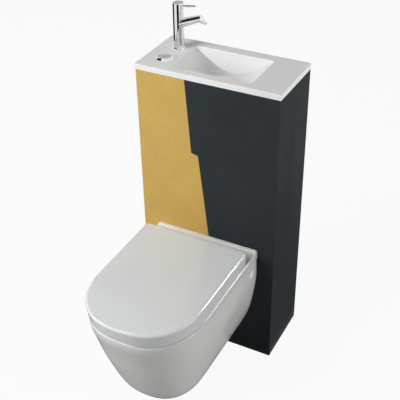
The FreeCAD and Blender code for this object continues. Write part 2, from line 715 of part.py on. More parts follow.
def bowl_fixings():
    """Studs from the frame, blocks on them inside the skirt, side screws into the blocks, and caps."""
    block_x = (STUD_X - BLOCK_WIDTH / 2, STUD_X + BLOCK_WIDTH / 2)
    block_front = FACE - BLOCK_DEPTH
    block = box(block_x, (block_front, FACE), (BLOCK_LOW, BLOCK_HIGH))
    seat_x = cap_seat_x()
    screw_end = block_x[1] - 2 * SIDE_SCREW_RADIUS
    block = cut(
        block,
        rod(STUD_RADIUS + 0.3, (STUD_X, block_front, STUD_HEIGHT), (STUD_X, FACE, STUD_HEIGHT)),
        rod(SIDE_SCREW_RADIUS, (screw_end, CAP_Y, CAP_HEIGHT), (block_x[1], CAP_Y, CAP_HEIGHT)),
    )
    nut_height = 10.0
    stud_back = FRAME_FRONT + STUD_PLATE + 2 * nut_height
    stud_front = block_front - 1.5 * nut_height
    stud = rod(STUD_RADIUS, (STUD_X, stud_front, STUD_HEIGHT), (STUD_X, stud_back, STUD_HEIGHT))
    plate_back = FRAME_FRONT + STUD_PLATE
    nuts = []
    for y in (block_front - nut_height, plate_back):
        near = (STUD_X, y, STUD_HEIGHT)
        far = (STUD_X, y + nut_height, STUD_HEIGHT)
        nuts.append(ring(1.7 * STUD_RADIUS, STUD_RADIUS, near, far))
    nuts += [mirrored(n) for n in nuts]

    stem_end = seat_x - CERAMIC / 2
    screw = rod(SIDE_SCREW_RADIUS, (screw_end, CAP_Y, CAP_HEIGHT), (stem_end - 1.0, CAP_Y, CAP_HEIGHT))
    crown_x = seat_x + CAP_RECESS + CAP_DOME
    dome_radius = (CAP_RADIUS ** 2 + CAP_DOME ** 2) / (2 * CAP_DOME)
    dome = Part.makeSphere(dome_radius, V(crown_x - dome_radius, CAP_Y, CAP_HEIGHT))
    disc = rod(CAP_RADIUS, (seat_x, CAP_Y, CAP_HEIGHT), (crown_x, CAP_Y, CAP_HEIGHT)).common(dome)
    stem = rod(CAP_STEM_RADIUS, (stem_end, CAP_Y, CAP_HEIGHT), (seat_x, CAP_Y, CAP_HEIGHT))
    return {
        "mounting_studs": pair(stud),
        "stud_nuts": Part.makeCompound(nuts),
        "fixing_blocks": pair(block),
        "side_screws": pair(screw),
        "side_caps": pair(joined(disc, stem)),
    }


def lid_block(inset, low, high, back, spread=0.0):
    """A block on the outline of the lid's foot, taken in by inset, that spreads by a share of the draft."""
    half_width = LID_HALF_WIDTH - LID_DRAFT - inset
    reach = -LID_FRONT - LID_NOSE_DRAFT - inset
    foot = d_wire(half_width, reach, back, low)
    head = d_wire(half_width + spread * LID_DRAFT, reach + spread * LID_NOSE_DRAFT, back, high)
    return Part.makeLoft([foot, head], True, True)


def rear_corners(shape, back):
    """The two rising edges at the straight back of a lid or seat."""
    height = shape.BoundBox.ZLength
    return edges_where(shape, lambda b: b.ZLength > 0.9 * height and b.YMin > back - 1)


def knuckle(x_near, reach_box):
    """One hinge eye about the hinge axis, with the arm that joins it to its panel."""
    span = (x_near, x_near + KNUCKLE_LENGTH)
    eye = rod(KNUCKLE_RADIUS, (span[0], HINGE_Y, HINGE_Z), (span[1], HINGE_Y, HINGE_Z))
    return joined(eye, box(span, *reach_box))


def seat_and_lid():
    """The seat ring, the lid that covers it, and the hinge posts and pins that carry both."""
    back = FACE - LID_BACK
    low = RIM_HEIGHT + LID_GAP
    shell = lid_block(0, low, LID_TOP, back, 1.0)
    shell = shell.makeFillet(LID_CORNER_ROUND, rear_corners(shell, back))
    shell = shell.makeFillet(LID_EDGE_ROUND, edges_where(shell, lambda b: b.ZMin > LID_TOP - 0.01))
    under = LID_TOP - LID_PLATE
    inside = lid_block(LID_WALL, low - 1, under, back - LID_WALL)
    post_half = HINGE_POST / 2
    lid_eye = POST_X - post_half - HINGE_SIDE_GAP - KNUCKLE_LENGTH
    seat_eye = POST_X + post_half + HINGE_SIDE_GAP
    hinge_bay = seat_eye + KNUCKLE_LENGTH + 2 * HINGE_SIDE_GAP
    rear_gap = box((-hinge_bay, hinge_bay), (back - 2 * LID_WALL, back + 1), (low - 1, under))
    heel_room = (low - 1, HINGE_Z - LID_HEEL_DROP)
    heel = box((-LID_HALF_WIDTH - 1, LID_HALF_WIDTH + 1), (HINGE_Y - 8, back + 1), heel_room)
    lid = cut(shell, inside, rear_gap, heel)
    arm = knuckle(lid_eye, ((HINGE_Y - 9, HINGE_Y + 9), (HINGE_Z, under)))
    bore_radius = HINGE_PIN_RADIUS + HINGE_RUNNING
    reach = hinge_bay + KNUCKLE_LENGTH
    pin_bore = rod(bore_radius, (-reach, HINGE_Y, HINGE_Z), (reach, HINGE_Y, HINGE_Z))
    lid = joined(lid, arm, mirrored(arm)).cut(pin_bore)

    seat_inset = LID_WALL + SEAT_CLEARANCE
    seat_low = RIM_HEIGHT + SEAT_GAP
    seat_high = seat_low + SEAT_THICKNESS
    seat_back = HINGE_Y - post_half - 3
    ring_block = lid_block(seat_inset, seat_low, seat_high, seat_back)
    ring_block = ring_block.makeFillet(LID_CORNER_ROUND, rear_corners(ring_block, seat_back))
    ring_block = ring_block.makeFillet(SEAT_EDGE_ROUND, edges_where(
        ring_block, lambda b: b.ZMin > seat_high - 0.01))
    seat_front = LID_FRONT + LID_NOSE_DRAFT + seat_inset
    hole_y = seat_front + SEAT_FRONT_WIDTH + SEAT_HOLE_HALF_LENGTH
    hole = Part.Face(oval_wire(SEAT_HOLE_HALF_WIDTH, SEAT_HOLE_HALF_LENGTH, hole_y, seat_low - 1))
    seat = ring_block.cut(hole.extrude(V(0, 0, SEAT_THICKNESS + 2)))
    seat = seat.makeFillet(SEAT_EDGE_ROUND, edges_where(
        seat, lambda b: b.ZMin > seat_high - 0.01 and abs(b.XLength - 2 * SEAT_HOLE_HALF_WIDTH) < 1))
    link = knuckle(seat_eye, ((seat_back - 1, HINGE_Y), (HINGE_Z - KNUCKLE_RADIUS, seat_high)))
    seat = joined(seat, link, mirrored(link)).cut(pin_bore)

    pads = []
    rear_pad = (RIM_HALF_WIDTH - BUMPER_REAR_INSET, FACE - BUMPER_REAR_SETBACK)
    front_pad = (RIM_HALF_WIDTH - BUMPER_FRONT_INSET, RIM_FRONT + BUMPER_FRONT_SETBACK)
    for x, y in (rear_pad, front_pad):
        pads.append(rod(BUMPER_RADIUS, (x, y, RIM_HEIGHT), (x, y, seat_low)))
    pads += [mirrored(p) for p in pads]

    foot = rod(0.75 * HINGE_POST, (POST_X, HINGE_Y, RIM_HEIGHT), (POST_X, HINGE_Y, RIM_HEIGHT + 4))
    span = (POST_X - post_half, POST_X + post_half)
    column = box(span, (HINGE_Y - post_half, HINGE_Y + post_half), (RIM_HEIGHT, HINGE_Z))
    crown = rod(post_half, (span[0], HINGE_Y, HINGE_Z), (span[1], HINGE_Y, HINGE_Z))
    stud_low = RIM_UNDER - 16
    stud = rod(HINGE_BOLT_RADIUS, (POST_X, HINGE_Y, stud_low), (POST_X, HINGE_Y, RIM_HEIGHT + 1))
    post = joined(foot, column, crown, stud)
    post = post.cut(rod(HINGE_PIN_RADIUS, (span[0], HINGE_Y, HINGE_Z), (span[1], HINGE_Y, HINGE_Z)))
    pin_end = seat_eye + KNUCKLE_LENGTH + 1
    pin = rod(HINGE_PIN_RADIUS, (lid_eye - 1, HINGE_Y, HINGE_Z), (pin_end, HINGE_Y, HINGE_Z))
    nut = ring(14.0, HINGE_BOLT_RADIUS, (POST_X, HINGE_Y, RIM_UNDER - 10), (POST_X, HINGE_Y, RIM_UNDER))
    return {
        "toilet_lid": lid,
        "toilet_seat": seat,
        "seat_bumpers": Part.makeCompound(pads),
        "hinge_posts": pair(post),
        "hinge_pins": pair(pin),
        "hinge_nuts": pair(nut),
    }


def cistern():
    """The tank with its lid, the fill valve with its float and stop valve, and the flush valve."""
    half = TANK_HALF_WIDTH
    outside = box((-half, half), (TANK_FRONT, TANK_BACK), (TANK_LOW, TANK_TOP))
    outside = outside.makeFillet(TANK_ROUND, edges_where(outside, upright_edge))
    wall = TANK_WALL
    inside = box((wall - half, half - wall), (TANK_FRONT + wall, TANK_BACK - wall),
                 (TANK_FLOOR, TANK_TOP + 1))
    inside = inside.makeFillet(TANK_ROUND - wall, edges_where(inside, upright_edge))
    below = TANK_LOW - 1
    tank = cut(
        outside,
        inside,
        rod(FLUSH_SHANK_RADIUS + 0.4, (0, TANK_Y, below), (0, TANK_Y, TANK_FLOOR)),
        rod(FILL_SHANK_RADIUS + 0.4, (FILL_X, TANK_Y, below), (FILL_X, TANK_Y, TANK_FLOOR)),
    )

    fit = TANK_LID_FIT
    far = fit + TANK_LID_SHEET
    cover = box((-half - far, half + far), (TANK_FRONT - far, TANK_BACK + far),
                (TANK_TOP - TANK_LID_SKIRT, TANK_TOP + TANK_LID))
    cover = cover.makeFillet(TANK_ROUND + far, edges_where(cover, upright_edge))
    room = box((-half - fit, half + fit), (TANK_FRONT - fit, TANK_BACK + fit),
               (TANK_TOP - TANK_LID_SKIRT - 1, TANK_TOP))
    room = room.makeFillet(TANK_ROUND + fit, edges_where(room, upright_edge))
    tail_hole = rod(DRAIN_RADIUS, (DRAIN_X, DRAIN_Y, TANK_TOP - 1),
                    (DRAIN_X, DRAIN_Y, TANK_TOP + TANK_LID + 1))
    cover = cut(cover, room, tail_hole)

    nuts = Part.makeCompound([
        ring(FLUSH_NUT_RADIUS, FLUSH_SHANK_RADIUS, (0, TANK_Y, TANK_LOW - 12), (0, TANK_Y, TANK_LOW)),
        ring(FILL_NUT_RADIUS, FILL_SHANK_RADIUS,
             (FILL_X, TANK_Y, TANK_LOW - 8), (FILL_X, TANK_Y, TANK_LOW)),
    ])
    parts = {"cistern_tank": tank, "cistern_lid": cover, "tank_nuts": nuts}
    parts.update(fill_valve())
    parts.update(flush_valve())
    return parts


def fill_valve():
    """The fill valve on the right of the tank, its float, and the stop valve under it."""
    def spot(z):
        return (FILL_X, TANK_Y, z)

    shank_end = TANK_LOW - FLUSH_SHANK
    column = FILL_SHANK_RADIUS - 1.0
    flange_top = TANK_FLOOR + 3.0
    float_low = flange_top + 10.0
    head_low = float_low + FLOAT_HEIGHT + FLOAT_TRAVEL + 10.0
    head_top = head_low + 25.0
    valve = joined(
        rod(FILL_SHANK_RADIUS, spot(shank_end), spot(TANK_FLOOR)),
        rod(FILL_NUT_RADIUS, spot(TANK_FLOOR), spot(flange_top)),
        rod(column, spot(flange_top), spot(head_low)),
        rod(2 * FILL_SHANK_RADIUS, spot(head_low), spot(head_top)),
    )
    valve = valve.cut(rod(column - 3.0, spot(shank_end), spot(head_low)))
    cup = ring(FLOAT_RADIUS, column + 1.0, spot(float_low), spot(float_low + FLOAT_HEIGHT))
    cup = cup.cut(ring(FLOAT_RADIUS - 2, column + 3.0, spot(float_low), spot(float_low + FLOAT_HEIGHT - 2)))

    grip_low = shank_end - 5.0
    grip_top = shank_end + 15.0
    body_low = shank_end - 65.0
    inlet_end = body_low - INLET_LENGTH
    bore = FILL_SHANK_RADIUS - 4.0
    body_radius = FILL_SHANK_RADIUS + 3.0
    body = joined(
        rod(INLET_RADIUS, spot(inlet_end), spot(body_low)),
        rod(body_radius, spot(body_low), spot(grip_low)),
        rod(body_radius + 3.0, spot(grip_low), spot(grip_top)),
    )
    stem_z = (body_low + grip_low) / 2
    stem_start = TANK_Y + body_radius - 3.0
    collar_end = stem_start + 10.0
    stem = 4.0
    body = joined(body, rod(2 * stem, (FILL_X, TANK_Y + bore + 2, stem_z), (FILL_X, collar_end, stem_z)))
    body = cut(
        body,
        rod(FILL_SHANK_RADIUS, spot(shank_end), spot(grip_top)),
        rod(bore, spot(inlet_end), spot(shank_end)),
        rod(stem + 0.05, (FILL_X, stem_start, stem_z), (FILL_X, collar_end, stem_z)),
    )
    knob = joined(
        rod(stem, (FILL_X, stem_start, stem_z), (FILL_X, collar_end + 1.0, stem_z)),
        rod(3 * stem, (FILL_X, collar_end + 0.5, stem_z), (FILL_X, collar_end + 8.0, stem_z)),
        box((FILL_X - 3 * stem, FILL_X + 3 * stem), (collar_end + 0.5, collar_end + 14.0),
            (stem_z - stem / 2, stem_z + stem / 2)),
    )
    return {
        "fill_valve": valve,
        "cistern_float": cup,
        "stop_valve": body,
        "stop_valve_knob": knob,
    }


def flush_valve():
    """The flush valve in the middle of the tank: cage, lifting tube, seal, and the air actuator on top."""
    def spot(z):
        return (0, TANK_Y, z)

    shank_end = TANK_LOW - FLUSH_SHANK
    shank_bore = FLUSH_SHANK_RADIUS - 4.0
    cage = FLUSH_VALVE_RADIUS
    cage_wall = 4.0
    seat_top = TANK_FLOOR + 4.0
    cage_top = seat_top + FLUSH_CAGE
    housing_top = TANK_TOP - ACTUATOR_ROOM
    housing_low = housing_top - ACTUATOR_HEIGHT
    tube = 15.0
    body = joined(
        ring(FLUSH_SHANK_RADIUS, shank_bore, spot(shank_end), spot(TANK_FLOOR)),
        ring(cage, shank_bore, spot(TANK_FLOOR), spot(seat_top)),
        ring(cage, cage - cage_wall, spot(seat_top), spot(cage_top)),
        ring(cage, tube + 1.0, spot(cage_top), spot(cage_top + 6.0)),
    )
    window = 14.0
    window_top = cage_top - 15.0
    far = cage + 1.0
    windows = joined(
        box((-far, far), (TANK_Y - window, TANK_Y + window), (seat_top, window_top)),
        box((-window, window), (TANK_Y - far, TANK_Y + far), (seat_top, window_top)),
    )
    body = body.cut(windows.cut(rod(cage - cage_wall - 1.0, spot(seat_top), spot(cage_top))))

    seal_top = seat_top + 4.0
    disc = cage - cage_wall - 3.0
    tube_top = housing_low - FLUSH_LIFT - 9.0
    stem_top = tube_top + 35.0
    lifter = joined(
        ring(disc, tube - 3.0, spot(seal_top), spot(seal_top + 6.0)),
        ring(tube, tube - 3.0, spot(seal_top), spot(tube_top)),
        rod(tube, spot(tube_top), spot(tube_top + 4.0)),
        rod(5.0, spot(tube_top), spot(stem_top)),
    )
    overflow = box((-2 * tube, 2 * tube), (TANK_Y - 6, TANK_Y + 6), (tube_top - 14.0, tube_top - 2.0))
    lifter = lifter.cut(overflow)
    seal = ring(disc, FLUSH_SHANK_RADIUS - 6.0, spot(seat_top), spot(seal_top))

    leg_near = tube + 10.0
    leg = box((leg_near, leg_near + 6.0), (TANK_Y - 6, TANK_Y + 6), (cage_top + 6.0, housing_low + 6.0))
    bridge = box((-leg_near, leg_near), (TANK_Y - 6, TANK_Y + 6), (housing_low, housing_low + 6.0))
    nipple = rod(3.0, (8.0, TANK_Y, housing_top), (8.0, TANK_Y, housing_top + 10.0))
    actuator = joined(leg, mirrored(leg), bridge, rod(20.0, spot(housing_low), spot(housing_top)),
                      nipple, mirrored(nipple))
    actuator = actuator.cut(rod(5.5, spot(housing_low), spot(housing_top - 4.0)))
    return {
        "flush_valve_body": body,
        "flush_lifter": lifter,
        "flush_seal": seal,
        "flush_actuator": actuator,
    }


def pipes():
    """The flush pipe to the bowl and the waste pipe from it, with their seals and clamp."""
    shank_end = TANK_LOW - FLUSH_SHANK
    cup_low = shank_end - 5.0
    cup_top = shank_end + 15.0
    end = HORN_END - 0.6 * FLUSH_SOCKET_DEPTH
    radius = FLUSH_PIPE_RADIUS
    bore = radius - FLUSH_PIPE_WALL

    def spot(z):
        return (0, TANK_Y, z)

    outer = bent_pipe(radius, end, cup_low, FLUSH_BEND, FLUSH_HEIGHT, TANK_Y)
    inner = bent_pipe(bore, end, cup_low, FLUSH_BEND, FLUSH_HEIGHT, TANK_Y)
    cup_radius = FLUSH_SHANK_RADIUS + 3.0
    cup = joined(
        ring(cup_radius, bore, spot(cup_low - 3.0), spot(shank_end)),
        ring(cup_radius, FLUSH_SHANK_RADIUS, spot(shank_end), spot(cup_top)),
    )
    flush_pipe = joined(outer, cup).cut(inner)
    seal_end = HORN_END - 0.5 * FLUSH_SOCKET_DEPTH
    pipe_seal = joined(
        ring(FLUSH_SOCKET_RADIUS, radius, (0, seal_end, FLUSH_HEIGHT), (0, HORN_END, FLUSH_HEIGHT)),
        ring(FLUSH_HORN_RADIUS, radius, (0, HORN_END, FLUSH_HEIGHT), (0, HORN_END + 3.0, FLUSH_HEIGHT)),
    )

    def at(y):
        return (0, y, WASTE_HEIGHT)

    sleeve_bore = WASTE_HORN_RADIUS + 4.0
    sleeve = sleeve_bore + 4.0
    pipe = WASTE_PIPE_RADIUS
    pipe_bore = pipe - WASTE_PIPE_WALL
    sleeve_front = HORN_END - 0.75 * HORN_SETBACK
    neck = BOARD / 2
    spigot_end = BOARD + 26.0
    connector = joined(
        ring(sleeve, sleeve_bore, at(sleeve_front), at(neck)),
        ring(sleeve, pipe_bore, at(neck), at(neck + 4.0)),
        ring(pipe, pipe_bore, at(neck + 4.0), at(spigot_end)),
    )
    waste_seal = ring(sleeve_bore, WASTE_HORN_RADIUS, at(sleeve_front + 10.0), at(sleeve_front + 30.0))

    bell_front = spigot_end - 16.0
    back_y = spigot_end + 10.0 + WASTE_BEND
    low = SOIL_SPIGOT_END
    collar = low + SOIL_SPIGOT
    outside = bent_pipe(pipe, spigot_end, low, WASTE_BEND, WASTE_HEIGHT, back_y)
    inside = bent_pipe(pipe_bore, spigot_end, low, WASTE_BEND, WASTE_HEIGHT, back_y)
    bell = joined(
        ring(pipe + 4.0, pipe, at(bell_front), at(spigot_end)),
        ring(pipe + 4.0, pipe_bore, at(spigot_end), at(spigot_end + 4.0)),
    )
    stop = ring(pipe + 4.0, pipe_bore, (0, back_y, collar), (0, back_y, collar + 6.0))
    bend = joined(outside, bell, stop).cut(inside)

    clamp_low = LOW_BAR + 8.0
    clamp_top = clamp_low + TUBE - 16.0
    clamp = joined(
        rod(pipe + 3.0, (0, back_y, clamp_low), (0, back_y, clamp_top)),
        box((-12, 12), (FRAME_BACK, back_y), (clamp_low, clamp_top)),
    )
    clamp = clamp.cut(rod(pipe, (0, back_y, clamp_low), (0, back_y, clamp_top)))
    return {
        "flush_pipe": flush_pipe,
        "pipe_seals": Part.makeCompound([pipe_seal, waste_seal]),
        "waste_connector": connector,
        "waste_bend": bend,
        "waste_clamp": clamp,
    }


def trough_wire(inset, y):
    """The trough's outline across the basin at one depth into it, made larger by inset."""
    forward = (BASIN_BACK - y) / (BASIN_BACK - BASIN_FRONT)
    skew = 1 + BASIN_SKEW * forward
    ease = 1 + BASIN_EASE * forward
    off_drain = abs(y - DRAIN_Y) / (BASIN_BACK - DRAIN_Y)
    depth = BASIN_DRAIN_DEPTH + inset - (BASIN_DRAIN_DEPTH - BASIN_BACK_DEPTH) * off_drain ** 2
    left = BASIN_LEFT - inset
    width = BASIN_RIGHT + inset - left
    steps = 16
    points = []
    for i in range(steps + 1):
        share = i / steps
        fall = math.sin(math.pi * share ** skew) if 0 < i < steps else 0.0
        points.append(V(left + width * share, y, DECK_TOP - depth * fall ** ease))
    curve = Part.BSplineCurve()
    curve.interpolate(Points=points)
    return Part.Wire([curve.toShape(), Part.LineSegment(points[-1], points[0]).toShape()])


def trough(inset):
    """The basin's hollow, made larger by inset: a shallow round trough between two leaning walls."""
    front = BASIN_FRONT - inset
    back = BASIN_BACK + inset
    middle = (front + back) / 2
    round_part = loft([trough_wire(inset, y) for y in (front - 1, middle, back + 1)])
    depth = BASIN_DRAIN_DEPTH + 2 * inset + 20
    far = CABINET_WIDTH
    walls = face_of([
        (-far / 2, front, DECK_TOP + 1),
        (-far / 2, back, DECK_TOP + 1),
        (-far / 2, back - BASIN_BACK_LEAN * depth, DECK_TOP - depth),
        (-far / 2, front + BASIN_FRONT_LEAN * depth, DECK_TOP - depth),
    ]).extrude(V(far, 0, 0))
    return round_part.common(walls)


def basin():
    """The white top: a flat deck with a shallow basin, a hump at its front and holes for the fittings."""
    half = HALF_CABINET + FACING + DECK_OVERHANG
    deck = box((-half, half), (FACE - DECK_OVERHANG, CABINET_DEPTH), (BOARD_TOP, DECK_TOP))
    deck = deck.makeFillet(DECK_EDGE_ROUND, edges_where(
        deck, lambda b: b.ZMin > DECK_TOP - 0.01 and b.YMin < CABINET_DEPTH - 1))
    hollow = trough(0)
    hump = Part.Ellipse(V(HUMP_X + HUMP_HALF_WIDTH, BASIN_FRONT, BASIN_FLOOR),
                        V(HUMP_X, BASIN_FRONT + HUMP_DEPTH, BASIN_FLOOR),
                        V(HUMP_X, BASIN_FRONT, BASIN_FLOOR))
    hump = Part.Face(Part.Wire([hump.toShape()])).extrude(V(0, 0, BASIN_DRAIN_DEPTH))
    hollow = hollow.cut(hump)
    drain_low = DRAIN_SEAT - DRAIN_BOSS
    boss = rod(DRAIN_RADIUS + BASIN_WALL, (DRAIN_X, DRAIN_Y, drain_low), (DRAIN_X, DRAIN_Y, BASIN_FLOOR))
    shell = trough(BASIN_WALL).common(box((-half, half), (0, CABINET_DEPTH), (0, BOARD_TOP)))
    body = joined(deck, shell, boss)
    body = cut(
        body,
        hollow,
        rod(DRAIN_RADIUS, (DRAIN_X, DRAIN_Y, drain_low - 1), (DRAIN_X, DRAIN_Y, DECK_TOP)),
        rod(DRAIN_FLANGE_RADIUS + 0.3, (DRAIN_X, DRAIN_Y, DRAIN_SEAT), (DRAIN_X, DRAIN_Y, DECK_TOP)),
        rod(TAP_HOLE_RADIUS, (TAP_X, TAP_Y, BOARD_TOP - 1), (TAP_X, TAP_Y, DECK_TOP + 1)),
        rod(BUTTON_HOLE_RADIUS, (BUTTON_X, BUTTON_Y, BOARD_TOP - 1), (BUTTON_X, BUTTON_Y, DECK_TOP + 1)),
    )

    def spot(z):
        return (DRAIN_X, DRAIN_Y, z)

    sleeve = DRAIN_RADIUS - 0.5
    sleeve_low = drain_low - 22.0
    strainer = joined(
        rod(DRAIN_FLANGE_RADIUS, spot(DRAIN_SEAT), spot(DRAIN_SEAT + 2.5)),
        ring(sleeve, sleeve - 2.5, spot(sleeve_low), spot(DRAIN_SEAT)),
    )
    slots = []
    for count, radius in ((1, 0.0), (6, 7.0), (12, 13.0)):
        for i in range(count):
            turn = 2 * math.pi * i / count
            x = DRAIN_X + radius * math.cos(turn)
            y = DRAIN_Y + radius * math.sin(turn)
            slots.append(rod(2.2, (x, y, DRAIN_SEAT - 1), (x, y, DRAIN_SEAT + 4)))
    strainer = cut(strainer, *slots)
    seal = ring(DRAIN_RADIUS + BASIN_WALL - 1, sleeve, spot(drain_low - 2.0), spot(drain_low))
    nut = ring(DRAIN_RADIUS + BASIN_WALL, sleeve, spot(drain_low - 11.0), spot(drain_low - 2.0))
    tail_top = drain_low - 12.0
    tail_step = sleeve_low - 3.0
    tail_end = TANK_TOP - 10.0
    tail = joined(
        ring(sleeve + 3.0, sleeve, spot(sleeve_low), spot(tail_top)),
        ring(sleeve + 3.0, sleeve - 5.5, spot(tail_step), spot(sleeve_low)),
        ring(sleeve - 3.5, sleeve - 5.5, spot(tail_end), spot(tail_step)),
    )
    return {
        "basin": body,
        "drain_strainer": strainer,
        "drain_seal": seal,
        "drain_nut": nut,
        "drain_tail": tail,
    }


def tap():
    """The single-lever tap: body and spout, and the handle that swivels and tips on its spindle."""
    def spot(z, x=0.0, y=0.0):
        return (TAP_X + x, TAP_Y + y, z)

    pivot = V(TAP_X, TAP_Y, PIVOT_Z)
    seat = DECK_TOP + TAP_BASE
    neck_low = PIVOT_Z - HANDLE_BALL - 2.0
    spindle_low = PIVOT_Z - 2 * HANDLE_BALL - 6.0
    cup_top = PIVOT_Z - HANDLE_ABOVE_PIVOT - 1.0
    body = joined(
        rod(TAP_SHANK_RADIUS, spot(DECK_TOP - TAP_SHANK), spot(seat)),
        rod(TAP_RADIUS, spot(seat), spot(cup_top)),
    )
    spindle_bore = SPINDLE_RADIUS + SPINDLE_RUNNING
    body = cut(
        body,
        Part.makeSphere(HANDLE_BALL + HANDLE_GAP, pivot),
        rod(spindle_bore, spot(spindle_low), spot(PIVOT_Z)),
        rod(TAP_SHANK_RADIUS - 5, spot(DECK_TOP - TAP_SHANK), spot(spindle_low - 8)),
    )
    base = ring(TAP_BASE_RADIUS, TAP_SHANK_RADIUS, spot(DECK_TOP), spot(seat))
    base = base.makeFillet(TAP_BASE * 0.6, edges_where(
        base, lambda b: b.ZMin > seat - 0.01 and b.XLength > 2 * TAP_BASE_RADIUS - 1))

    tilt = math.radians(SPOUT_TILT)
    start = spot(DECK_TOP + SPOUT_RISE)

    def along_spout(distance):
        return spot(DECK_TOP + SPOUT_RISE + distance * math.sin(tilt), distance * math.cos(tilt))

    direction = V(math.cos(tilt), 0, math.sin(tilt))
    spout = Part.makeCone(SPOUT_ROOT_RADIUS, SPOUT_TIP_RADIUS, SPOUT_LENGTH, V(*start), direction)
    end_x = TAP_X + SPOUT_LENGTH * math.cos(tilt)
    spout = spout.makeFillet(1.5, edges_where(spout, lambda b: b.XMin > end_x - SPOUT_TIP_RADIUS))
    lean = math.radians(AERATOR_LEAN)
    root_x = (SPOUT_LENGTH - AERATOR_SETBACK) * math.cos(tilt)
    root_z = DECK_TOP + SPOUT_RISE + (SPOUT_LENGTH - AERATOR_SETBACK) * math.sin(tilt)

    def along_nozzle(distance):
        return spot(root_z - distance * math.cos(lean), root_x + distance * math.sin(lean))

    tip = along_nozzle(AERATOR_LENGTH)
    step = along_nozzle(AERATOR_LENGTH - NOZZLE_LENGTH)
    spout_solid = spout.cut(rod(TAP_RADIUS, spot(seat), spot(cup_top)))
    spout = cut(
        spout_solid,
        rod(SPOUT_BORE, start, along_spout(SPOUT_LENGTH - SPOUT_END_WALL)),
        rod(AERATOR_RADIUS, spot(root_z, root_x), step),
    )
    aerator = cut(
        joined(rod(AERATOR_RADIUS, along_nozzle(SPOUT_BORE), step), rod(NOZZLE_RADIUS, step, tip)),
        rod(NOZZLE_RADIUS - 1.2, along_nozzle(AERATOR_LENGTH - 2.0), tip),
    )

    spindle = joined(
        rod(SPINDLE_RADIUS, spot(spindle_low), spot(neck_low)),
        rod(SPINDLE_NECK, spot(neck_low), spot(PIVOT_Z + SPINDLE_NECK)),
    )
    pin_half = (HANDLE_BORE + TAP_RADIUS) / 2 + 1.0
    pin = rod(TILT_PIN_RADIUS, spot(PIVOT_Z, 0, -pin_half), spot(PIVOT_Z, 0, pin_half))
    spindle = spindle.cut(pin)

    handle_low = PIVOT_Z - HANDLE_BALL
    handle_top = PIVOT_Z + HANDLE_ABOVE_PIVOT
    skirt = rod(TAP_RADIUS, spot(handle_low), spot(PIVOT_Z)).common(Part.makeSphere(HANDLE_BALL, pivot))
    head = rod(TAP_RADIUS, spot(PIVOT_Z), spot(handle_top))
    head = head.makeFillet(1.2, edges_where(head, lambda b: b.ZMin > handle_top - 0.01))
    rise = math.tan(math.radians(LEVER_TILT))
    lever_root = HANDLE_BORE + 0.3
    lever_z = PIVOT_Z + LEVER_ABOVE_PIVOT
    lever_tip = spot(lever_z + LEVER_REACH * rise, LEVER_REACH)
    lever = rod(LEVER_RADIUS, spot(lever_z + lever_root * rise, lever_root), lever_tip)
    handle = cut(
        joined(skirt, head),
        rod(HANDLE_BORE, spot(handle_low), spot(handle_top - 4.0)),
        rod(TILT_PIN_RADIUS + 0.05, spot(PIVOT_Z, 0, -pin_half - 0.2), spot(PIVOT_Z, 0, pin_half + 0.2)),
        lever,
    )
    tip_edges = edges_where(lever, lambda b: b.XMin > TAP_X + LEVER_REACH - 2 * LEVER_RADIUS)
    lever = lever.makeFillet(0.8, tip_edges)

    washer = ring(1.7 * TAP_SHANK_RADIUS, TAP_SHANK_RADIUS, spot(BOARD_TOP - 3), spot(BOARD_TOP))
    nut = ring(1.6 * TAP_SHANK_RADIUS, TAP_SHANK_RADIUS, spot(BOARD_TOP - 13), spot(BOARD_TOP - 3))
    return {
        "tap_body": body,
        "tap_base": base,
        "tap_spout": spout,
        "tap_aerator": aerator,
        "tap_spindle": spindle,
        "tap_tilt_pin": pin,
        "tap_handle": handle,
        "tap_lever": lever,
        "tap_washer": washer,
        "tap_nut": nut,
    }


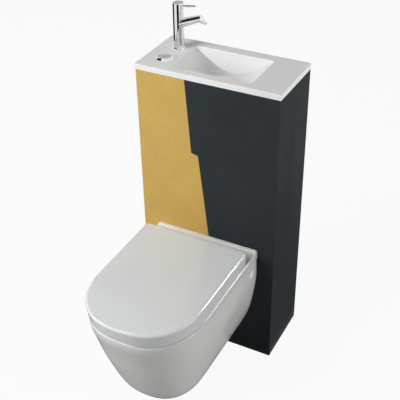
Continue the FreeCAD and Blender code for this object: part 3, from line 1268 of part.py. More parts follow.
def flush_button():
    """The two-part flush button in its bezel and housing, with an air bellows under each half."""
    def spot(z):
        return (BUTTON_X, BUTTON_Y, z)

    bore = BUTTON_RADIUS + BUTTON_FIT
    bezel = Part.makeCone(BEZEL_RADIUS, BEZEL_TOP_RADIUS, BEZEL_HEIGHT, V(*spot(DECK_TOP)))
    bezel = bezel.makeFillet(1.0, edges_where(bezel, lambda b: b.ZMin > DECK_TOP + BEZEL_HEIGHT - 0.01))
    bezel = bezel.cut(rod(bore, spot(DECK_TOP), spot(DECK_TOP + BEZEL_HEIGHT)))
    bezel = bezel.makeFillet(BEZEL_LIP, edges_where(
        bezel, lambda b: b.ZMin > DECK_TOP + BEZEL_HEIGHT - 0.01 and b.XLength < 2 * bore + 0.5))
    floor = DECK_TOP - HOUSING_DEPTH
    housing = rod(HOUSING_RADIUS, spot(floor), spot(DECK_TOP))
    housing = housing.cut(rod(bore, spot(floor + HOUSING_FLOOR), spot(DECK_TOP)))
    nut = ring(HOUSING_RADIUS + 8.0, HOUSING_RADIUS, spot(BOARD_TOP - 10), spot(BOARD_TOP))

    top = DECK_TOP + BEZEL_HEIGHT + BUTTON_PROUD
    low = top - BUTTON_THICKNESS
    gap = BUTTON_SPLIT / 2
    far = 2 * BUTTON_RADIUS
    back_room = box((BUTTON_X - far, BUTTON_X + far), (BUTTON_Y + gap, BUTTON_Y + far), (floor, top + 1))
    front_room = box((BUTTON_X - far, BUTTON_X + far), (BUTTON_Y - far, BUTTON_Y - gap), (floor, top + 1))
    plunger = rod(BUTTON_RADIUS, spot(low), spot(top))
    plunger = plunger.makeFillet(BUTTON_EDGE, edges_where(plunger, lambda b: b.ZMin > top - 0.01))
    bellows = rod(BUTTON_RADIUS - 3.0, spot(floor + HOUSING_FLOOR), spot(low))
    parts = {
        "button_bezel": bezel,
        "button_housing": housing,
        "button_nut": nut,
        "button_full": plunger.common(front_room),
        "button_eco": plunger.common(back_room),
        "bellows_full": bellows.common(front_room),
        "bellows_eco": bellows.common(back_room),
    }
    for shape in parts.values():
        shape.rotate(V(*spot(0)), V(0, 0, 1), BUTTON_TURN)
    return parts


def main():
    """Build every piece, move it into the unit's own frame and write it out."""
    os.makedirs("parts", exist_ok=True)
    parts = {}
    builders = (cabinet, frame, bowl, bowl_fixings, seat_and_lid, cistern, pipes, basin, tap, flush_button)
    for build in builders:
        parts.update(build())
    seals = ("pipe_seals", "drain_seal", "tap_washer")
    parts["rubber_seals"] = Part.makeCompound([parts.pop(name) for name in seals])
    parts["deck_nuts"] = Part.makeCompound([parts.pop("drain_nut"), parts.pop("button_nut")])
    for name, shape in parts.items():
        moved(shape, y=SHIFT_Y).exportStep("parts/" + name + ".step")


main()
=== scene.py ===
"""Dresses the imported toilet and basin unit: materials, a softer basin, light and the camera."""

import json
import math

import bmesh
import bpy
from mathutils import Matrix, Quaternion, Vector


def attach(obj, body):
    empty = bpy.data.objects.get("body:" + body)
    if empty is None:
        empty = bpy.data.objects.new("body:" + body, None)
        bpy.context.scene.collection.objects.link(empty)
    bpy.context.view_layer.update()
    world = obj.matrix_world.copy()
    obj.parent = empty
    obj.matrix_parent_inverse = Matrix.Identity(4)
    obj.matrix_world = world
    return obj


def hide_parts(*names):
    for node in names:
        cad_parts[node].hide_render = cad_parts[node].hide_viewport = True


MM = 0.001

# The slab in millimetres: x from the unit's middle, y from its row origin, and z from the floor
FACE_Y = 158.25
DECK_LOW = (-232.5, FACE_Y - 2.5)
DECK_HIGH = (232.5, FACE_Y + 222.5)
DECK_TOP = 985.0
DECK_THICKNESS = 17.5
DECK_ROUND = 2.0
TAP_HOLE = (-166.0, FACE_Y + 153.0, 16.0)
BUTTON_HOLE = (-170.0, FACE_Y + 69.0, 22.0)

# The basin's hollow: its rims, its depth, how its round part leans, and the slopes of its walls
BASIN_X = (-131.0, 132.0)
BASIN_Y = (FACE_Y + 28.0, FACE_Y + 187.0)
BASIN_WALL = 8.0
BASIN_DEPTH = 62.0
BASIN_BACK_DEPTH = 54.0
BASIN_SKEW = 0.35
BASIN_EASE = 0.4
BACK_LEAN = 0.3
FRONT_LEAN = 0.15

# The hump in the basin's front rim
HUMP_X = 52.0
HUMP_HALF_WIDTH = 38.0
HUMP_DEPTH = 15.0
HUMP_POWER = 0.8

# The drain's seat in the basin and the boss under it
DRAIN = (10.0, FACE_Y + 95.0)
DRAIN_SEAT = 922.0
DRAIN_BOSS = 15.0
DRAIN_RADIUS = 20.0
DRAIN_RECESS_RADIUS = 25.3
BOSS_OVERLAP = 0.5

# How wide the turns are at the basin's rims and along the creases between its walls and its round part
TROUGH_TURN = 2.5
BACK_TURN = 7.0
FRONT_TURN = 12.0
BACK_CREASE = 5.0
FRONT_CREASE = 14.0

# How the round part goes on past its rims: as a share of its length, and as a slope
TROUGH_OVERRUN = 0.1
TROUGH_RISE = 0.6

# The search for a wall's foot, the bands of the grid beside the edges and creases, and the tools for holes
FOOT_FARTHEST = 30.0
FOOT_NEAREST = 5.0
FOOT_HALVINGS = 30
EDGE_BAND = 0.4
TOOL_SEGMENTS = 72
TOOL_SPARE = 5.0
HOLE_DEPTH = 30.0
SHARP_ANGLE = 38.0

# The heights in metres between which painted shade darkens the basin's glaze towards the drain, and how grey
# the painted shade makes it there
BASIN_PAINTED_SHADE = (0.925, 0.965)
PAINTED_SHADE_GREY = 0.82

# The camera that the photograph was taken with, in metres, degrees and millimetres
CAMERA_PLACE = (0.96129, -1.68660, 2.00639)
CAMERA_AZIMUTH = 28.09
CAMERA_ELEVATION = 34.63
CAMERA_ROLL = -1.05
CAMERA_LENS = 73.39
CAMERA_SENSOR = 36.0

# The floor, in metres and greys, and the light from all round
FLOOR_HALF_WIDTH = 9.0
FLOOR_GREY = 0.5
FLOOR_WHITENESS = 0.94
AMBIENT = 0.1

# The soft lamps, in metres: their side, their distance and the height that they look at
LAMP_SIZE = 1.6
LAMP_DISTANCE = 3.2
LAMP_TARGET = 0.6

# Each lamp's degrees from the unit's front towards its right, its degrees up and its watts
LAMPS = {
    "key_high": (-35.0, 42.0, 73.0),
    "key_low": (-50.0, 18.0, 28.0),
    "right_fill": (95.0, 4.0, 44.0),
    "left_fill": (-120.0, 15.0, 8.0),
    "lid_shine": (156.0, 37.0, 190.0),
    "rim_shine": (141.0, 18.0, 110.0),
    "cap_light": (80.0, 10.0, 30.0),
    "back_fill": (160.0, 25.0, 45.0),
    "slab_light": (148.0, 21.0, 26.0),
}

# The lamps that fall on some pieces alone; the fill from behind has those that show through the open back
LAMP_PIECES = {
    "lid_shine": ("toilet_lid",),
    "rim_shine": ("toilet_bowl", "side_caps"),
    "cap_light": ("side_caps",),
    "back_fill": (
        "front_board", "side_board_left", "side_board_right", "corner_brackets", "support_frame",
        "frame_feet", "wall_brackets", "frame_screws", "mounting_studs", "stud_nuts", "cistern_tank",
        "cistern_lid", "tank_nuts", "stop_valve", "stop_valve_knob", "flush_valve_body", "flush_pipe",
        "waste_connector", "waste_bend", "waste_clamp", "rubber_seals", "drain_tail", "deck_nuts",
    ),
    "slab_light": ("basin_top",),
}

# The lamps that give gloss alone, and the one that gives none
GLOSS_LAMPS = ("lid_shine", "rim_shine")
MATT_LAMPS = ("slab_light",)

# The greys of the cards, and each card's two lower corners, its reach from them in metres, and its grey
DARK_CARD = 0.02
FLOOR_CARD = 0.2
BACK_CARD = 0.5
CARDS = {
    "card_left": ((-0.75, 1.3, 0.0), (-0.75, 0.0, 0.0), (0.0, 0.0, 1.0), DARK_CARD),
    "card_front": ((-0.3, -0.95, 0.0), (0.75, -0.75, 0.0), (0.0, 0.0, 0.7), DARK_CARD),
    "card_right": ((1.0, 0.1, 0.0), (1.0, 0.77, 0.0), (0.0, 0.0, 0.8), DARK_CARD),
    "card_high_left": ((-1.3, 0.71, 1.0), (-0.94, -0.62, 1.0), (0.0, 0.0, 1.8), DARK_CARD),
    "card_high_front": ((-0.94, -0.62, 1.0), (-0.4, -0.95, 1.0), (0.0, 0.0, 1.6), DARK_CARD),
    "card_view": ((0.35, -1.55, 1.0), (1.55, -1.15, 1.0), (0.0, 0.0, 2.0), DARK_CARD),
    "card_floor": ((-1.3, 1.3, 0.01), (-1.3, -0.5, 0.01), (1.0, 0.0, 0.0), DARK_CARD),
    "card_back": ((-1.7, 1.5, 1.3), (-0.2, 1.5, 1.3), (0.0, 0.2, 1.3), BACK_CARD),
    "card_floor_right": ((-0.6, -1.6, 0.01), (-0.6, 0.15, 0.01), (2.0, 0.0, 0.0), FLOOR_CARD),
    "card_floor_side": ((0.24, 0.15, 0.01), (0.24, 1.1, 0.01), (1.16, 0.0, 0.0), FLOOR_CARD),
}


class Shader:
    """A node material with one principled shader and short calls to add texture nodes."""

    def __init__(self, name):
        self.material = bpy.data.materials.new(name)
        self.material.use_nodes = True
        self.tree = self.material.node_tree
        self.principled = self.tree.nodes["Principled BSDF"]
        self.place = self.add("ShaderNodeTexCoord").outputs["Object"]

    def add(self, kind, **settings):
        """A new node with its settings."""
        made = self.tree.nodes.new(kind)
        for key, value in settings.items():
            setattr(made, key, value)
        return made

    def link(self, source, target):
        self.tree.links.new(source, target)

    def fixed(self, socket, value):
        """A constant on one of the principled shader's own sockets."""
        self.principled.inputs[socket].default_value = value

    def stretched(self, scale):
        """The object's coordinates, scaled along each axis."""
        mapping = self.add("ShaderNodeMapping")
        mapping.inputs["Scale"].default_value = scale
        self.link(self.place, mapping.inputs["Vector"])
        return mapping.outputs["Vector"]

    def noise(self, scale, detail=3.0, rough=0.5, stretch=None):
        """Noise of so many cycles to the metre."""
        made = self.add("ShaderNodeTexNoise")
        made.inputs["Scale"].default_value = scale
        made.inputs["Detail"].default_value = detail
        made.inputs["Roughness"].default_value = rough
        self.link(self.stretched(stretch) if stretch else self.place, made.inputs["Vector"])
        return made.outputs["Fac"]

    def cells(self, scale, output="Distance"):
        """Cells of so many to the metre."""
        made = self.add("ShaderNodeTexVoronoi")
        made.inputs["Scale"].default_value = scale
        self.link(self.place, made.inputs["Vector"])
        return made.outputs[output]

    def height(self):
        """The object's own height in metres."""
        made = self.add("ShaderNodeSeparateXYZ")
        self.link(self.place, made.inputs["Vector"])
        return made.outputs["Z"]

    def ramp(self, source, low, high):
        """Colours between two (place, colour) stops."""
        made = self.add("ShaderNodeValToRGB")
        for element, (place, colour) in zip(made.color_ramp.elements, (low, high)):
            element.position = place
            element.color = (*colour, 1.0)
        self.link(source, made.inputs["Fac"])
        return made.outputs["Color"]

    def span(self, source, low, high, start=0.3, end=0.7):
        """The source's range from start to end, mapped to low and high."""
        made = self.add("ShaderNodeMapRange")
        made.inputs["From Min"].default_value = start
        made.inputs["From Max"].default_value = end
        made.inputs["To Min"].default_value = low
        made.inputs["To Max"].default_value = high
        self.link(source, made.inputs["Value"])
        return made.outputs["Result"]

    def mix(self, first, second, factor, blend="MIX"):
        """Two colours mixed; the factor is a number or an output."""
        made = self.add("ShaderNodeMix", data_type="RGBA", blend_type=blend)
        self.link(first, made.inputs["A"])
        self.link(second, made.inputs["B"])
        if isinstance(factor, float):
            made.inputs["Factor"].default_value = factor
        else:
            self.link(factor, made.inputs["Factor"])
        return made.outputs["Result"]

    def maths(self, operation, first, second):
        """A sum on two outputs."""
        made = self.add("ShaderNodeMath", operation=operation)
        self.link(first, made.inputs[0])
        self.link(second, made.inputs[1])
        return made.outputs[0]

    def colour(self, output):
        self.link(output, self.principled.inputs["Base Color"])

    def roughness(self, output):
        self.link(output, self.principled.inputs["Roughness"])

    def bump(self, height, strength, distance):
        """A bump of so many metres from a height between 0 and 1."""
        made = self.add("ShaderNodeBump")
        made.inputs["Strength"].default_value = strength
        made.inputs["Distance"].default_value = distance
        self.link(height, made.inputs["Height"])
        self.link(made.outputs["Normal"], self.principled.inputs["Normal"])


def srgb(red, green, blue):
    """A colour as it is seen, 0 to 255, in linear light."""
    def linear(value):
        value /= 255.0
        return value / 12.92 if value <= 0.04045 else ((value + 0.055) / 1.055) ** 2.4
    return linear(red), linear(green), linear(blue)


def bare_board():
    """Pale fibre board, sanded and sealed: soft clouds, short fibres and a few dark specks."""
    s = Shader("bare_board")
    clouds = s.noise(14.0, 4.0, 0.6)
    cloud = s.ramp(clouds, (0.3, srgb(206, 168, 82)), (0.72, srgb(215, 180, 97)))
    fibres = s.noise(220.0, 5.0, 0.65, (1.0, 1.0, 0.55))
    fibre = s.ramp(fibres, (0.32, srgb(189, 148, 66)), (0.7, srgb(223, 190, 108)))
    wood = s.mix(cloud, fibre, 0.35)
    speck = s.span(s.cells(260.0), 1.0, 0.0, 0.05, 0.16)
    dark = s.ramp(s.noise(60.0), (0.0, srgb(160, 120, 60)), (1.0, srgb(176, 136, 70)))
    rare = s.maths("MULTIPLY", speck, s.span(s.noise(35.0), 0.0, 0.5, 0.5, 0.7))
    s.colour(s.mix(wood, dark, rare))
    s.roughness(s.span(s.noise(90.0), 0.5, 0.66))
    s.bump(s.noise(700.0, 4.0, 0.6), 0.25, 0.0003)
    return s.material


def dark_facing():
    """Anthracite laminate: satin, with a fine pearl grain and faint wiping marks."""
    s = Shader("dark_facing")
    s.colour(s.ramp(s.noise(7.0, 5.0, 0.6), (0.3, srgb(49, 54, 57)), (0.7, srgb(55, 60, 63))))
    wiped = s.noise(9.0, 4.0, 0.6, (1.0, 1.0, 0.3))
    s.roughness(s.span(wiped, 0.52, 0.64))
    s.fixed("Specular IOR Level", 0.03)
    s.bump(s.noise(1400.0, 2.0), 0.18, 0.0002)
    return s.material


def glaze(name, tint, rough, painted_shade=None):
    """A white glossy skin with very shallow waves and a little unevenness in tone.

    Where two heights are given, painted shade darkens it from the upper one down to the lower one.
    """
    s = Shader(name)
    deep = tuple(part * 0.97 for part in tint)
    tone = s.ramp(s.noise(6.0), (0.3, deep), (0.7, tint))
    # Painted shade: below the upper height the colour is multiplied down towards a grey at the lower height
    if painted_shade:
        share = s.span(s.height(), 0.0, 1.0, *painted_shade)
        tone = s.mix(tone, s.ramp(share, (0.0, (PAINTED_SHADE_GREY,) * 3), (1.0, (1.0,) * 3)), 1.0, "MULTIPLY")
    s.colour(tone)
    s.roughness(s.span(s.noise(40.0, 4.0), rough, rough * 1.1))
    s.bump(s.noise(22.0, 2.0), 0.02, 0.0006)
    return s.material


def chrome():
    """Polished chrome with faint water marks."""
    s = Shader("chrome")
    s.fixed("Metallic", 1.0)
    s.colour(s.ramp(s.noise(30.0), (0.3, srgb(222, 224, 226)), (0.7, srgb(236, 237, 238))))
    spots = s.span(s.cells(190.0), 0.1, 0.025, 0.04, 0.14)
    s.roughness(s.maths("ADD", spots, s.span(s.noise(350.0, 2.0), 0.0, 0.02)))
    s.bump(s.noise(45.0, 2.0), 0.04, 0.0004)
    return s.material


def zinc_steel():
    """Zinc plated steel with a dull crystal pattern."""
    s = Shader("zinc_steel")
    s.fixed("Metallic", 1.0)
    crystals = s.cells(160.0, "Color")
    s.colour(s.ramp(crystals, (0.1, srgb(160, 163, 168)), (0.9, srgb(196, 198, 202))))
    s.roughness(s.span(s.noise(120.0, 4.0), 0.28, 0.46))
    s.bump(s.noise(500.0), 0.15, 0.0002)
    return s.material


def frame_paint():
    """Powder coat on the steel frame: an even colour with a light orange peel."""
    s = Shader("frame_paint")
    s.colour(s.ramp(s.noise(12.0, 4.0), (0.3, srgb(38, 72, 128)), (0.7, srgb(46, 82, 140))))
    s.roughness(s.span(s.noise(200.0, 2.0), 0.34, 0.46))
    s.bump(s.noise(900.0, 1.0), 0.3, 0.0003)
    return s.material


def brass():
    """Machined brass with fine turning lines."""
    s = Shader("brass")
    s.fixed("Metallic", 1.0)
    s.colour(s.ramp(s.noise(80.0, 4.0), (0.3, srgb(196, 160, 84)), (0.7, srgb(216, 182, 108))))
    s.roughness(s.span(s.noise(600.0, 2.0, 0.5, (0.1, 0.1, 1.0)), 0.22, 0.4))
    s.bump(s.noise(900.0, 2.0, 0.5, (0.05, 0.05, 1.0)), 0.2, 0.0002)
    return s.material


def moulded(name, light, dark, rough, grain):
    """Moulded plastic or rubber: a slight flow in the colour and a fine grain."""
    s = Shader(name)
    s.colour(s.ramp(s.noise(16.0, 4.0, 0.55), (0.3, dark), (0.7, light)))
    s.roughness(s.span(s.noise(70.0), rough, rough + 0.14))
    s.bump(s.noise(1100.0, 2.0), grain, 0.0003)
    return s.material


def materials():
    """One material for each slot of the record."""
    return {
        "bare_board": bare_board(),
        "dark_facing": dark_facing(),
        "zinc_steel": zinc_steel(),
        "frame_paint": frame_paint(),
        "glazed_white": glaze("glazed_white", srgb(233, 233, 230), 0.12),
        "seat_white": glaze("seat_white", srgb(231, 234, 234), 0.07),
        # The basin's glaze carries painted shade, darker towards the drain
        "basin_white": glaze("basin_white", srgb(243, 243, 242), 0.12, BASIN_PAINTED_SHADE),
        "chrome": chrome(),
        "brass": brass(),
        "rubber": moulded("rubber", srgb(40, 40, 42), srgb(28, 28, 30), 0.6, 0.3),
        "tank_plastic": moulded("tank_plastic", srgb(228, 228, 224), srgb(214, 215, 212), 0.4, 0.2),
        "valve_plastic": moulded("valve_plastic", srgb(205, 214, 222), srgb(188, 198, 208), 0.35, 0.15),
        "pipe_white": moulded("pipe_white", srgb(232, 232, 230), srgb(220, 220, 218), 0.32, 0.12),
        "pipe_dark": moulded("pipe_dark", srgb(58, 60, 62), srgb(46, 48, 50), 0.42, 0.2),
        "knob_plastic": moulded("knob_plastic", srgb(60, 96, 150), srgb(46, 80, 132), 0.38, 0.2),
    }


def dress(frame):
    """Gives every CAD node the material of its slot, and returns the materials by slot."""
    looks = materials()
    for part in frame["record"]["subparts"]:
        node = frame["nodes"][part["node"]]
        node.data.materials.clear()
        node.data.materials.append(looks[part["material_slot"]])
    return looks


def soft_min(first, second, width):
    """The smaller of two values, with a round turn from one to the other."""
    width = min(width, first + second)
    if width <= 0.0:
        return min(first, second)
    near = max(width - abs(first - second), 0.0) / width
    return min(first, second) - near * near * width / 4


def soft_floor(value, width):
    """The value or nought, whichever is larger, with a round turn between them."""
    near = max(width - abs(value), 0.0) / width
    return max(value, 0.0) + near * near * width / 4


def trough_depth(x, y, inset):
    """How deep the basin's round part lies under the deck, and below nought outside it."""
    left, right = BASIN_X[0] - inset, BASIN_X[1] + inset
    forward = (BASIN_Y[1] - y) / (BASIN_Y[1] - BASIN_Y[0])
    forward = min(max(forward, -TROUGH_OVERRUN), 1 + TROUGH_OVERRUN)
    off_drain = min(abs(y - DRAIN[1]) / (BASIN_Y[1] - DRAIN[1]), 1 + TROUGH_OVERRUN)
    depth = BASIN_DEPTH + inset - (BASIN_DEPTH - BASIN_BACK_DEPTH) * off_drain ** 2
    share = (x - left) / (right - left)
    if share <= 0.0 or share >= 1.0:
        return -TROUGH_RISE * max(left - x, x - right)
    fall = math.sin(math.pi * share ** (1 + BASIN_SKEW * forward))
    return depth * max(fall, 0.0) ** (1 + BASIN_EASE * forward)


def front_rim(x):
    """Where the basin's front edge lies, with its hump."""
    off = (x - HUMP_X) / HUMP_HALF_WIDTH
    if abs(off) >= 1:
        return BASIN_Y[0]
    return BASIN_Y[0] + HUMP_DEPTH * (0.5 + 0.5 * math.cos(math.pi * off)) ** HUMP_POWER


def basin_depth(x, y):
    """The basin's inner surface, as a depth under the deck."""
    trough = soft_floor(trough_depth(x, y, 0.0), TROUGH_TURN)
    back = soft_floor((BASIN_Y[1] - y) / BACK_LEAN, BACK_TURN)
    front = soft_floor((y - front_rim(x)) / FRONT_LEAN, FRONT_TURN)
    return soft_min(soft_min(trough, back, BACK_CREASE), front, FRONT_CREASE)


def under_depth(x, y):
    """The basin's outer surface under the deck."""
    trough = trough_depth(x, y, BASIN_WALL)
    back = (BASIN_Y[1] + BASIN_WALL - y) / BACK_LEAN
    front = (y - BASIN_Y[0] + BASIN_WALL) / FRONT_LEAN
    return max(DECK_THICKNESS, min(trough, back, front))


def edge_drop(x, y):
    """How far the deck's rounded front and side edges fall."""
    drop = 0.0
    for inside in (x - DECK_LOW[0], DECK_HIGH[0] - x, y - DECK_LOW[1]):
        if inside < DECK_ROUND:
            drop += DECK_ROUND - math.sqrt(DECK_ROUND ** 2 - (DECK_ROUND - inside) ** 2)
    return min(drop, 2 * DECK_ROUND)


def wall_foot(x, rim, lean, inward):
    """Where a wall that starts at its rim meets the round part, found by halving."""
    low, high = 0.0, FOOT_FARTHEST
    for _ in range(FOOT_HALVINGS):
        middle = (low + high) / 2
        if middle / lean < trough_depth(x, rim + inward * middle, 0.0):
            low = middle
        else:
            high = middle
    return rim + inward * max(low, FOOT_NEAREST)


def stepped(start, stops):
    """Values from the start along (end, steps) stops."""
    values = [start]
    for end, steps in stops:
        start = values[-1]
        values += [start + (end - start) * i / steps for i in range(1, steps + 1)]
    return values


def basin_grid():
    """Rows of points over the deck, closer together at its edges and at the basin's rims and creases."""
    low, high = DECK_LOW[0], DECK_HIGH[0]
    left, right = BASIN_X
    near, far = DECK_LOW[1], DECK_HIGH[1]
    back = BASIN_Y[1]
    across = stepped(low, [
        (low + EDGE_BAND, 3), (low + DECK_ROUND, 4), (left - 6, 24), (left + 8, 14), (right - 8, 110),
        (right + 6, 14), (high - DECK_ROUND, 24), (high - EDGE_BAND, 4), (high, 3),
    ])
    rows = []
    for x in across:
        rim = front_rim(x)
        foot = wall_foot(x, rim, FRONT_LEAN, 1)
        crease = wall_foot(x, back, BACK_LEAN, -1)
        along = stepped(near, [
            (near + EDGE_BAND, 3), (near + DECK_ROUND, 4), (rim - 3, 8), (rim + 2, 10), (foot - 2, 8),
            (foot + 3, 8), (crease - 3, 44), (crease + 2, 10), (back - 2, 8), (back + 3, 10), (far, 10),
        ])
        rows.append([(x, y) for y in along])
    return rows


def closed_shell(rows, top, under):
    """A closed mesh between two heights over a grid of points."""
    build = bmesh.new()

    def layer(height):
        return [[build.verts.new((x * MM, y * MM, height(x, y) * MM)) for x, y in row] for row in rows]

    upper, lower = layer(top), layer(under)
    count, length = len(rows), len(rows[0])
    for i in range(count - 1):
        for j in range(length - 1):
            build.faces.new((upper[i][j], upper[i + 1][j], upper[i + 1][j + 1], upper[i][j + 1]))
            build.faces.new((lower[i][j], lower[i][j + 1], lower[i + 1][j + 1], lower[i + 1][j]))
    for i in range(count - 1):
        for j in (0, length - 1):
            build.faces.new((upper[i][j], lower[i][j], lower[i + 1][j], upper[i + 1][j]))
    for j in range(length - 1):
        for i in (0, count - 1):
            build.faces.new((upper[i][j], lower[i][j], lower[i][j + 1], upper[i][j + 1]))
    bmesh.ops.recalc_face_normals(build, faces=build.faces)
    return build


def as_object(name, build):
    """A new object from built geometry."""
    mesh = bpy.data.meshes.new(name)
    build.to_mesh(mesh)
    build.free()
    made = bpy.data.objects.new(name, mesh)
    bpy.context.scene.collection.objects.link(made)
    return made


def round_tool(x, y, radius, low, high):
    """An upright cylinder for cutting or joining."""
    build = bmesh.new()
    bmesh.ops.create_cone(build, cap_ends=True, segments=TOOL_SEGMENTS, radius1=radius * MM,
                          radius2=radius * MM, depth=(high - low) * MM)
    bmesh.ops.translate(build, verts=build.verts, vec=Vector((x, y, (low + high) / 2)) * MM)
    return as_object("tool", build)


def combined(made, steps):
    """Joins or cuts the object with each (operation, tool) in turn, and keeps the result."""
    for operation, tool in steps:
        change = made.modifiers.new("change", "BOOLEAN")
        change.operation = operation
        change.object = tool
        change.solver = "EXACT"
    bpy.context.view_layer.update()
    result = made.evaluated_get(bpy.context.evaluated_depsgraph_get())
    mesh = bpy.data.meshes.new_from_object(result)
    made.modifiers.clear()
    made.data = mesh
    for _, tool in steps:
        bpy.data.objects.remove(tool)


def basin(look):
    """The white top with soft rims, in place of the crisp solid."""
    def top(x, y):
        return DECK_TOP - basin_depth(x, y) - edge_drop(x, y)

    def under(x, y):
        return DECK_TOP - under_depth(x, y)

    made = as_object("basin_top", closed_shell(basin_grid(), top, under))
    boss_low = DRAIN_SEAT - DRAIN_BOSS
    hole_ends = (DECK_TOP - HOLE_DEPTH, DECK_TOP + TOOL_SPARE)
    combined(made, [
        ("UNION", round_tool(*DRAIN, DRAIN_RADIUS + BASIN_WALL, boss_low, DRAIN_SEAT + BOSS_OVERLAP)),
        ("DIFFERENCE", round_tool(*DRAIN, DRAIN_RECESS_RADIUS, DRAIN_SEAT, DECK_TOP)),
        ("DIFFERENCE", round_tool(*DRAIN, DRAIN_RADIUS, boss_low - TOOL_SPARE, DECK_TOP)),
        ("DIFFERENCE", round_tool(*TAP_HOLE, *hole_ends)),
        ("DIFFERENCE", round_tool(*BUTTON_HOLE, *hole_ends)),
    ])
    made.data.shade_smooth()
    made.data.set_sharp_from_angle(angle=math.radians(SHARP_ANGLE))
    made.data.materials.clear()
    made.data.materials.append(look)
    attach(made, "unit")
    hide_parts("basin")
    return made


def blank_tree(owner):
    """The emptied node tree of a world or a material."""
    owner.use_nodes = True
    owner.node_tree.nodes.clear()
    return owner.node_tree


def white_where_seen(tree, lit, white, out, whiteness):
    """Shows white to the camera, to mirrors and to glass, and keeps the lit shader for all other light."""
    rays = tree.nodes.new("ShaderNodeLightPath")
    seen = rays.outputs["Is Camera Ray"]
    for kind in ("Is Glossy Ray", "Is Transmission Ray"):
        either = tree.nodes.new("ShaderNodeMath")
        either.operation = "MAXIMUM"
        tree.links.new(seen, either.inputs[0])
        tree.links.new(rays.outputs[kind], either.inputs[1])
        seen = either.outputs[0]
    share = tree.nodes.new("ShaderNodeMath")
    share.operation = "MULTIPLY"
    share.inputs[1].default_value = whiteness
    tree.links.new(seen, share.inputs[0])
    mix = tree.nodes.new("ShaderNodeMixShader")
    tree.links.new(share.outputs[0], mix.inputs["Fac"])
    tree.links.new(lit.outputs[0], mix.inputs[1])
    tree.links.new(white.outputs[0], mix.inputs[2])
    tree.links.new(mix.outputs[0], out.inputs["Surface"])


def background():
    """A white background with a little light from all round."""
    world = bpy.data.worlds.new("studio")
    bpy.context.scene.world = world
    tree = blank_tree(world)
    shades = []
    for strength in (AMBIENT, 1.0):
        shade = tree.nodes.new("ShaderNodeBackground")
        shade.inputs["Color"].default_value = (1.0, 1.0, 1.0, 1.0)
        shade.inputs["Strength"].default_value = strength
        shades.append(shade)
    white_where_seen(tree, *shades, tree.nodes.new("ShaderNodeOutputWorld"), 1.0)


def floor():
    """A pale floor that keeps a trace of the unit's shadow."""
    build = bmesh.new()
    bmesh.ops.create_grid(build, x_segments=8, y_segments=8, size=FLOOR_HALF_WIDTH)
    made = as_object("floor", build)
    material = bpy.data.materials.new("floor")
    tree = blank_tree(material)
    lit = tree.nodes.new("ShaderNodeBsdfDiffuse")
    lit.inputs["Color"].default_value = (FLOOR_GREY, FLOOR_GREY, FLOOR_GREY, 1.0)
    white = tree.nodes.new("ShaderNodeEmission")
    white.inputs["Strength"].default_value = 1.0
    white_where_seen(tree, lit, white, tree.nodes.new("ShaderNodeOutputMaterial"), FLOOR_WHITENESS)
    made.data.materials.append(material)


def lamp(name, azimuth, elevation, power):
    """A soft lamp round the unit, turned so many degrees from its front towards its right."""
    data = bpy.data.lights.new(name, "AREA")
    data.size = LAMP_SIZE
    data.energy = power
    made = bpy.data.objects.new(name, data)
    turn, rise = math.radians(azimuth), math.radians(elevation)
    outward = Vector((math.sin(turn) * math.cos(rise), -math.cos(turn) * math.cos(rise), math.sin(rise)))
    made.location = Vector((0.0, 0.0, LAMP_TARGET)) + LAMP_DISTANCE * outward
    made.rotation_mode = "QUATERNION"
    made.rotation_quaternion = (-outward).to_track_quat("-Z", "Y")
    bpy.context.scene.collection.objects.link(made)
    return made


def light_only(made, receivers):
    """Keeps a lamp's light to the given objects."""
    group = bpy.data.collections.new(made.name)
    for receiver in receivers:
        group.objects.link(receiver)
    made.light_linking.receiver_collection = group


def lights(pieces):
    """All the lamps, some of them for some pieces alone."""
    for name, aim in LAMPS.items():
        made = lamp(name, *aim)
        made.visible_diffuse = name not in GLOSS_LAMPS
        made.visible_glossy = name not in MATT_LAMPS
        if name in LAMP_PIECES:
            light_only(made, [pieces[piece] for piece in LAMP_PIECES[name]])


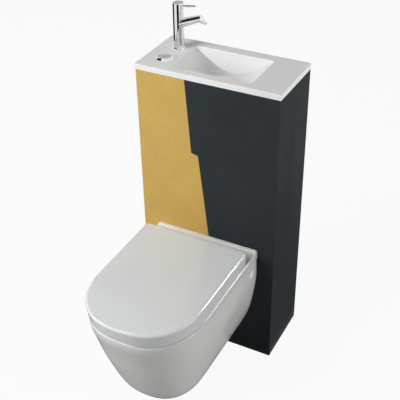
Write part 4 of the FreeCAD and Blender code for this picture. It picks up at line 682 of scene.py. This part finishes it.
def card(name, start, end, reach, grey):
    """A studio card from one lower corner to the other, which shows only in reflections."""
    build = bmesh.new()
    start, end, reach = Vector(start), Vector(end), Vector(reach)
    build.faces.new([build.verts.new(corner) for corner in (start, end, end + reach, start + reach)])
    made = as_object(name, build)
    made.visible_camera = False
    made.visible_diffuse = False
    made.visible_shadow = False
    made.visible_transmission = False
    material = bpy.data.materials.new(name)
    tree = blank_tree(material)
    glow = tree.nodes.new("ShaderNodeEmission")
    glow.inputs["Strength"].default_value = grey
    out = tree.nodes.new("ShaderNodeOutputMaterial")
    tree.links.new(glow.outputs[0], out.inputs["Surface"])
    made.data.materials.append(material)


def camera():
    """The photograph's camera."""
    data = bpy.data.cameras.new("camera")
    data.lens = CAMERA_LENS
    data.sensor_width = CAMERA_SENSOR
    made = bpy.data.objects.new("camera", data)
    across = math.radians(CAMERA_AZIMUTH)
    down = math.radians(CAMERA_ELEVATION)
    forward = Vector((-math.sin(across) * math.cos(down), math.cos(across) * math.cos(down), -math.sin(down)))
    made.location = CAMERA_PLACE
    made.rotation_mode = "QUATERNION"
    roll = Quaternion((0.0, 0.0, 1.0), math.radians(CAMERA_ROLL))
    made.rotation_quaternion = forward.to_track_quat("-Z", "Y") @ roll
    bpy.context.scene.collection.objects.link(made)
    bpy.context.scene.camera = made


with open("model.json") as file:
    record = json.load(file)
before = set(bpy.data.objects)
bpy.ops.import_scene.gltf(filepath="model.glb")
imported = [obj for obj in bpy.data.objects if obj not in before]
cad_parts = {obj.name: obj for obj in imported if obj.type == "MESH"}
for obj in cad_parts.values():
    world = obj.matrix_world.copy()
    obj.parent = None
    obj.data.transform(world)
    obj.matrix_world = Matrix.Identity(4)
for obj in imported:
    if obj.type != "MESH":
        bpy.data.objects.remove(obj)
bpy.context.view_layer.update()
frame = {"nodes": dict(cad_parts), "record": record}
bpy.context.scene.view_settings.view_transform = "Standard"
looks = dress(frame)
slab = basin(looks["basin_white"])
background()
floor()
lights({**frame["nodes"], "basin_top": slab})
for name, placing in CARDS.items():
    card(name, *placing)
camera()
